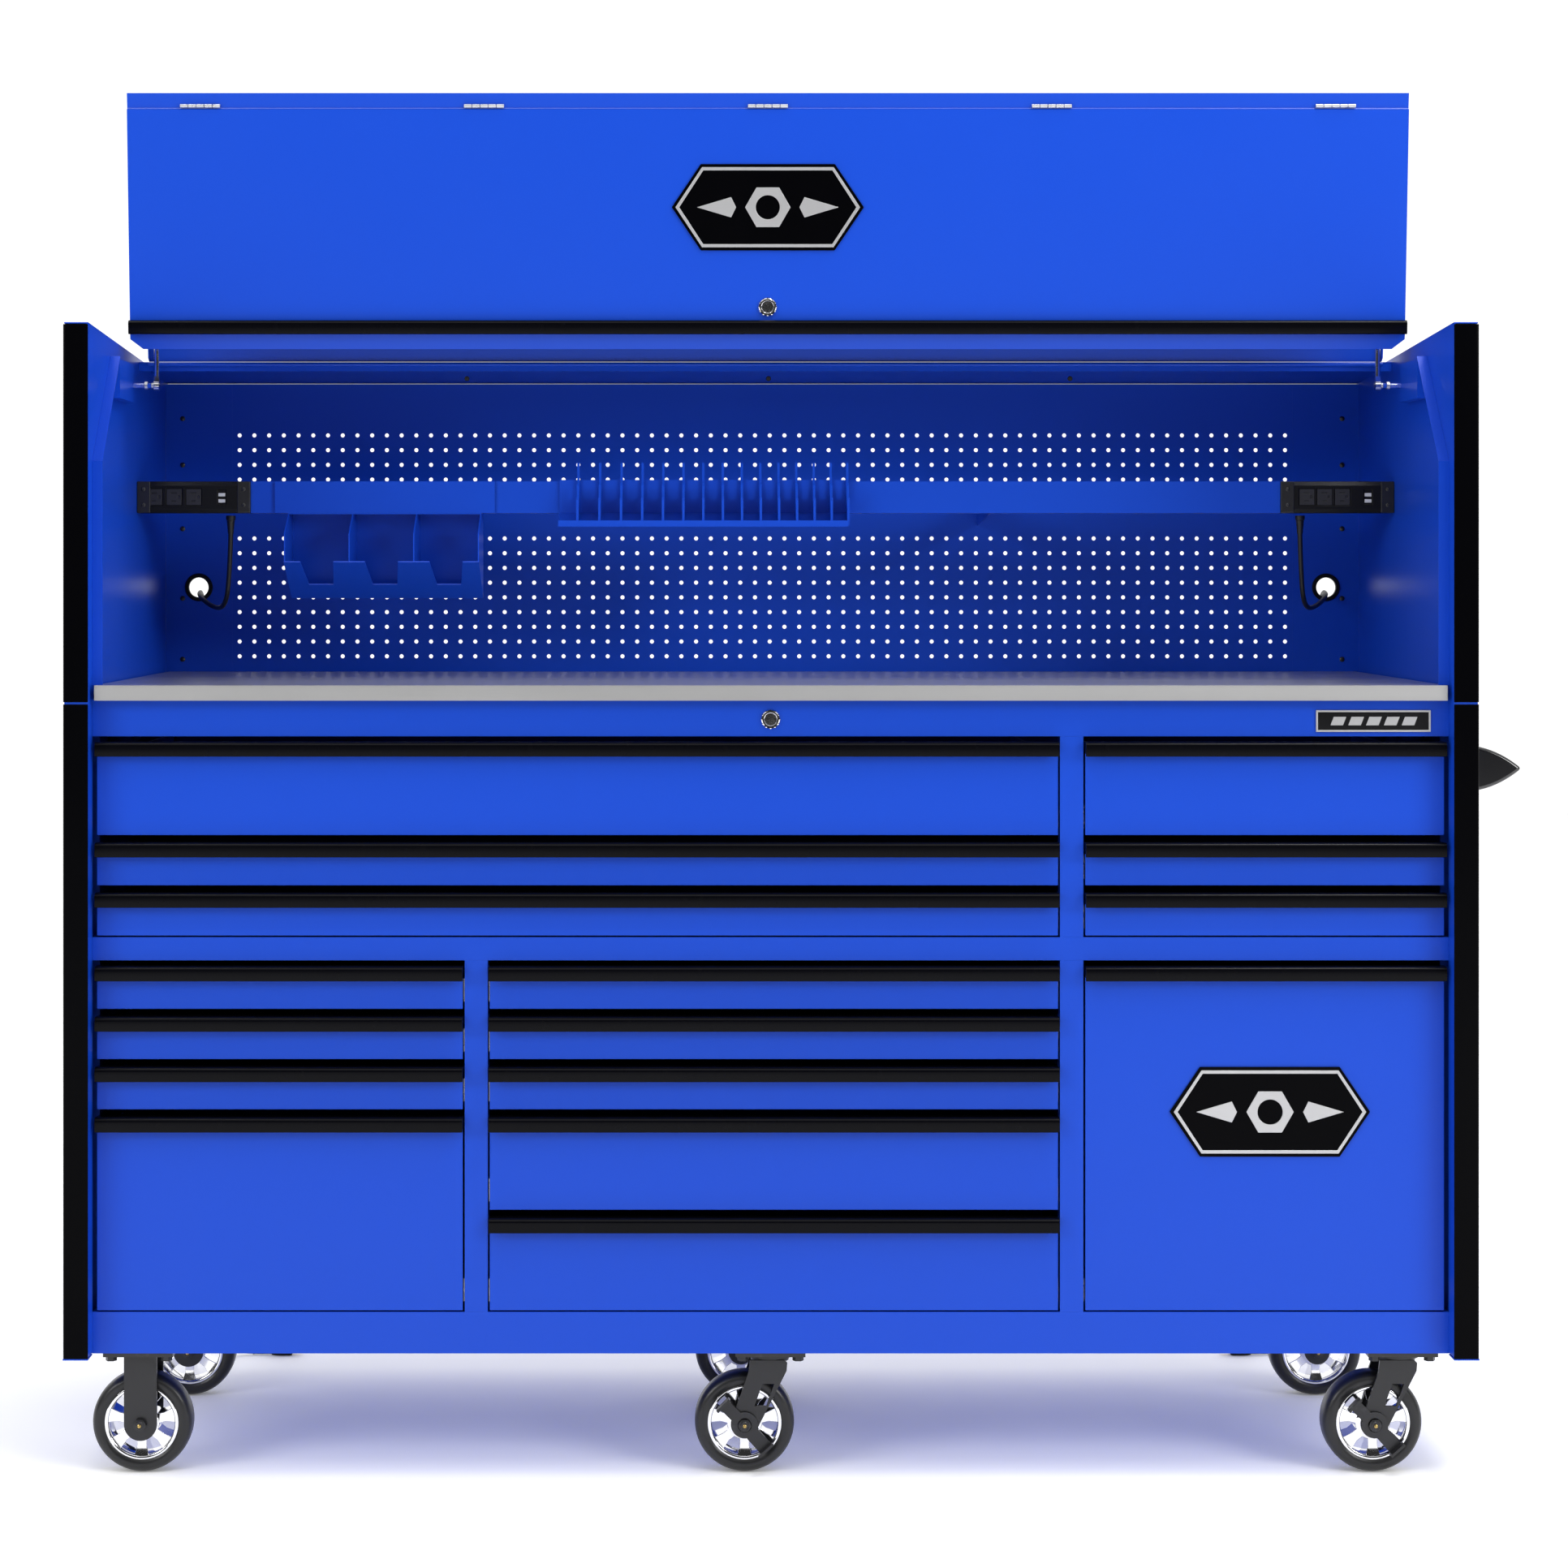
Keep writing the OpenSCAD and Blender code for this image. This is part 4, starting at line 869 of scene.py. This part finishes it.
def wheel(name, x, d):
    """A tyre on a chromed rim with spokes that flare towards the rim."""
    half = 25.4
    tyre = Shape()
    profile = (
        [(55.5, -half + 4.5), (57.5, -half + 2.5), (62, -half + 1.2)]
        + [(66, -half + 1.0), (70.5, -half + 2.6), (74.2, -half + 7.0), (75.8, -half + 12.5)]
        + [(76.15, -6), (76.15, 6)]
        + [(75.8, half - 12.5), (74.2, half - 7.0), (70.5, half - 2.6), (66, half - 1.0)]
        + [(62, half - 1.2), (57.5, half - 2.5), (55.5, half - 4.5)]
    )
    tyre.lathe("d", (x, AXLE_Z, d), profile, 96, ring=True)
    tyre.make(name + "_tyre", RUBBER, name, slot="wheel_tyre", hides=(name,))

    rim = Shape()
    rim.lathe("d", (x, AXLE_Z, d), [
        (50.5, -20), (51.5, -21.6), (54.5, -22.2), (56.9, -21.4), (56.9, 21.4), (54.5, 22.2),
        (51.5, 21.6), (50.5, 20), (49.2, 12), (49.2, -12),
    ], 96, ring=True)
    rim.lathe("d", (x, AXLE_Z, d), [
        (7.0, -24.6), (13.5, -24.6), (15.0, -23.6), (16.0, -21.0), (24.0, -19.0), (27.0, -17.0),
        (27.5, 0), (27.0, 17.0), (24.0, 19.0), (16.0, 21.0), (15.0, 23.6), (13.5, 24.6), (7.0, 24.6),
    ], 64, ring=True)
    for i in range(SPOKES):
        a = math.radians(270 + 360 * i / SPOKES)
        c, s = math.cos(a), math.sin(a)
        near, far = 24.0, 51.6
        corners = []
        for r, w, t in ((near, 7.4, 18.0), (36.0, 7.2, 17.4), (far, 11.5, 20.8)):
            corners.append([
                rim.mesh.verts.new((x + r * c - q * w * s, d + p * t, AXLE_Z + r * s + q * w * c))
                for p, q in ((-1, -1), (-1, 1), (1, 1), (1, -1))
            ])
        for one, two in zip(corners, corners[1:]):
            for k in range(4):
                rim.mesh.faces.new((one[k], one[(k + 1) % 4], two[(k + 1) % 4], two[k]))
        rim.mesh.faces.new(corners[0])
        rim.mesh.faces.new(corners[-1][::-1])
    rim.make(name + "_rim", CHROME, name, bevel=1.6, segments=3, slot="chrome_parts")


def axle_end(name, x, d, body="root"):
    """The washer and the grease fitting on the front end of an axle bolt."""
    washer = Shape()
    washer.lathe("d", (x, AXLE_Z, d - BOLT_FACE), [
        (0, -1.6), (5.6, -1.6), (6.6, -0.6), (9.4, 0), (0, 0)
    ], 24)
    washer.make(name + "_axle_washer", BLACK_STEEL, body)
    fitting = Shape()
    fitting.lathe("d", (x, AXLE_Z, d - BOLT_FACE - 1.6), [
        (0, -4.6), (1.5, -4.4), (2.0, -3.6), (1.5, -2.8), (2.6, -2.2), (2.6, 0), (0, 0)
    ], 18)
    fitting.make(name + "_grease_fitting", BRASS, body)


def casters():
    for name, x, d in SWIVELS:
        dress(name + "_fork", BLACK_STEEL, 0.9)
        axle_end(name, x - TRAIL, d, name + "_fork")
    for name, x, d in RIGIDS:
        axle_end(name, x, d)
    for name in ("front_centre_brake", "front_right_brake"):
        dress(name, BLACK_STEEL, 0.8)
    dress("caster_mounts", BLACK_STEEL, 0.8)
    for name, x, d in SWIVELS:
        wheel(name + "_wheel", x - TRAIL, d)
    for name, x, d in RIGIDS:
        wheel(name + "_wheel", x, d)


# ------------------------------------------------------------------------------- all


def floor():
    bm = bmesh.new()
    bmesh.ops.create_grid(bm, x_segments=8, y_segments=8, size=14)
    data = bpy.data.meshes.new("floor")
    bm.to_mesh(data)
    bm.free()
    white = surface("floor_white", (0.97, 0.97, 0.97), 0.6, tint=0.008, bump=0.00001, specular=0.2)
    glow = white.node_tree.nodes["Principled BSDF"].inputs
    glow["Emission Color"].default_value = (1, 1, 1, 1)
    glow["Emission Strength"].default_value = 0.14
    data.materials.append(white)
    obj = bpy.data.objects.new("floor", data)
    bpy.context.collection.objects.link(obj)
    obj.location = (0, 0, -0.0005)


camera()
studio()
floor()
mains_lead(-1, "left")
mains_lead(1, "right")

for group, slots in DRAWERS:
    for number, slot in enumerate(slots, 1):
        drawer(group if len(slots) == 1 else f"{group}_{number}", slot)

for node in ("cabinet_shell", "face_frame", "partitions", "hutch_shell", "hutch_top", "tool_rail",
             "bin_rack", "wrench_rack", "lid_roof", "lid_panel"):
    dress(node, BLUE, 0.5)
dress("pegboard", BLUE, 0)
dress("slide_channels", ZINC, 0.3)
dress("worktop", STAINLESS, 0.9)
dress("strut_cylinders", BLACK_TRIM, 0.4)
dress("strut_rods", CHROME, 0.3)

posts()
locks()
lid_trim()
hinges()
plaque("lid_plaque", "lid_panel", 0, 1431, PANEL_HINGE[0], 304, 136, panel_matrix())
plaque("drawer_plaque", "lower_right_drawer", 757, 557, FACE, 304, 136)
badge()
power_strip(-1, "left_power_strip")
power_strip(1, "right_power_strip")
grommets()
side_handle()
ball_studs()
screws_and_rivets()
casters()
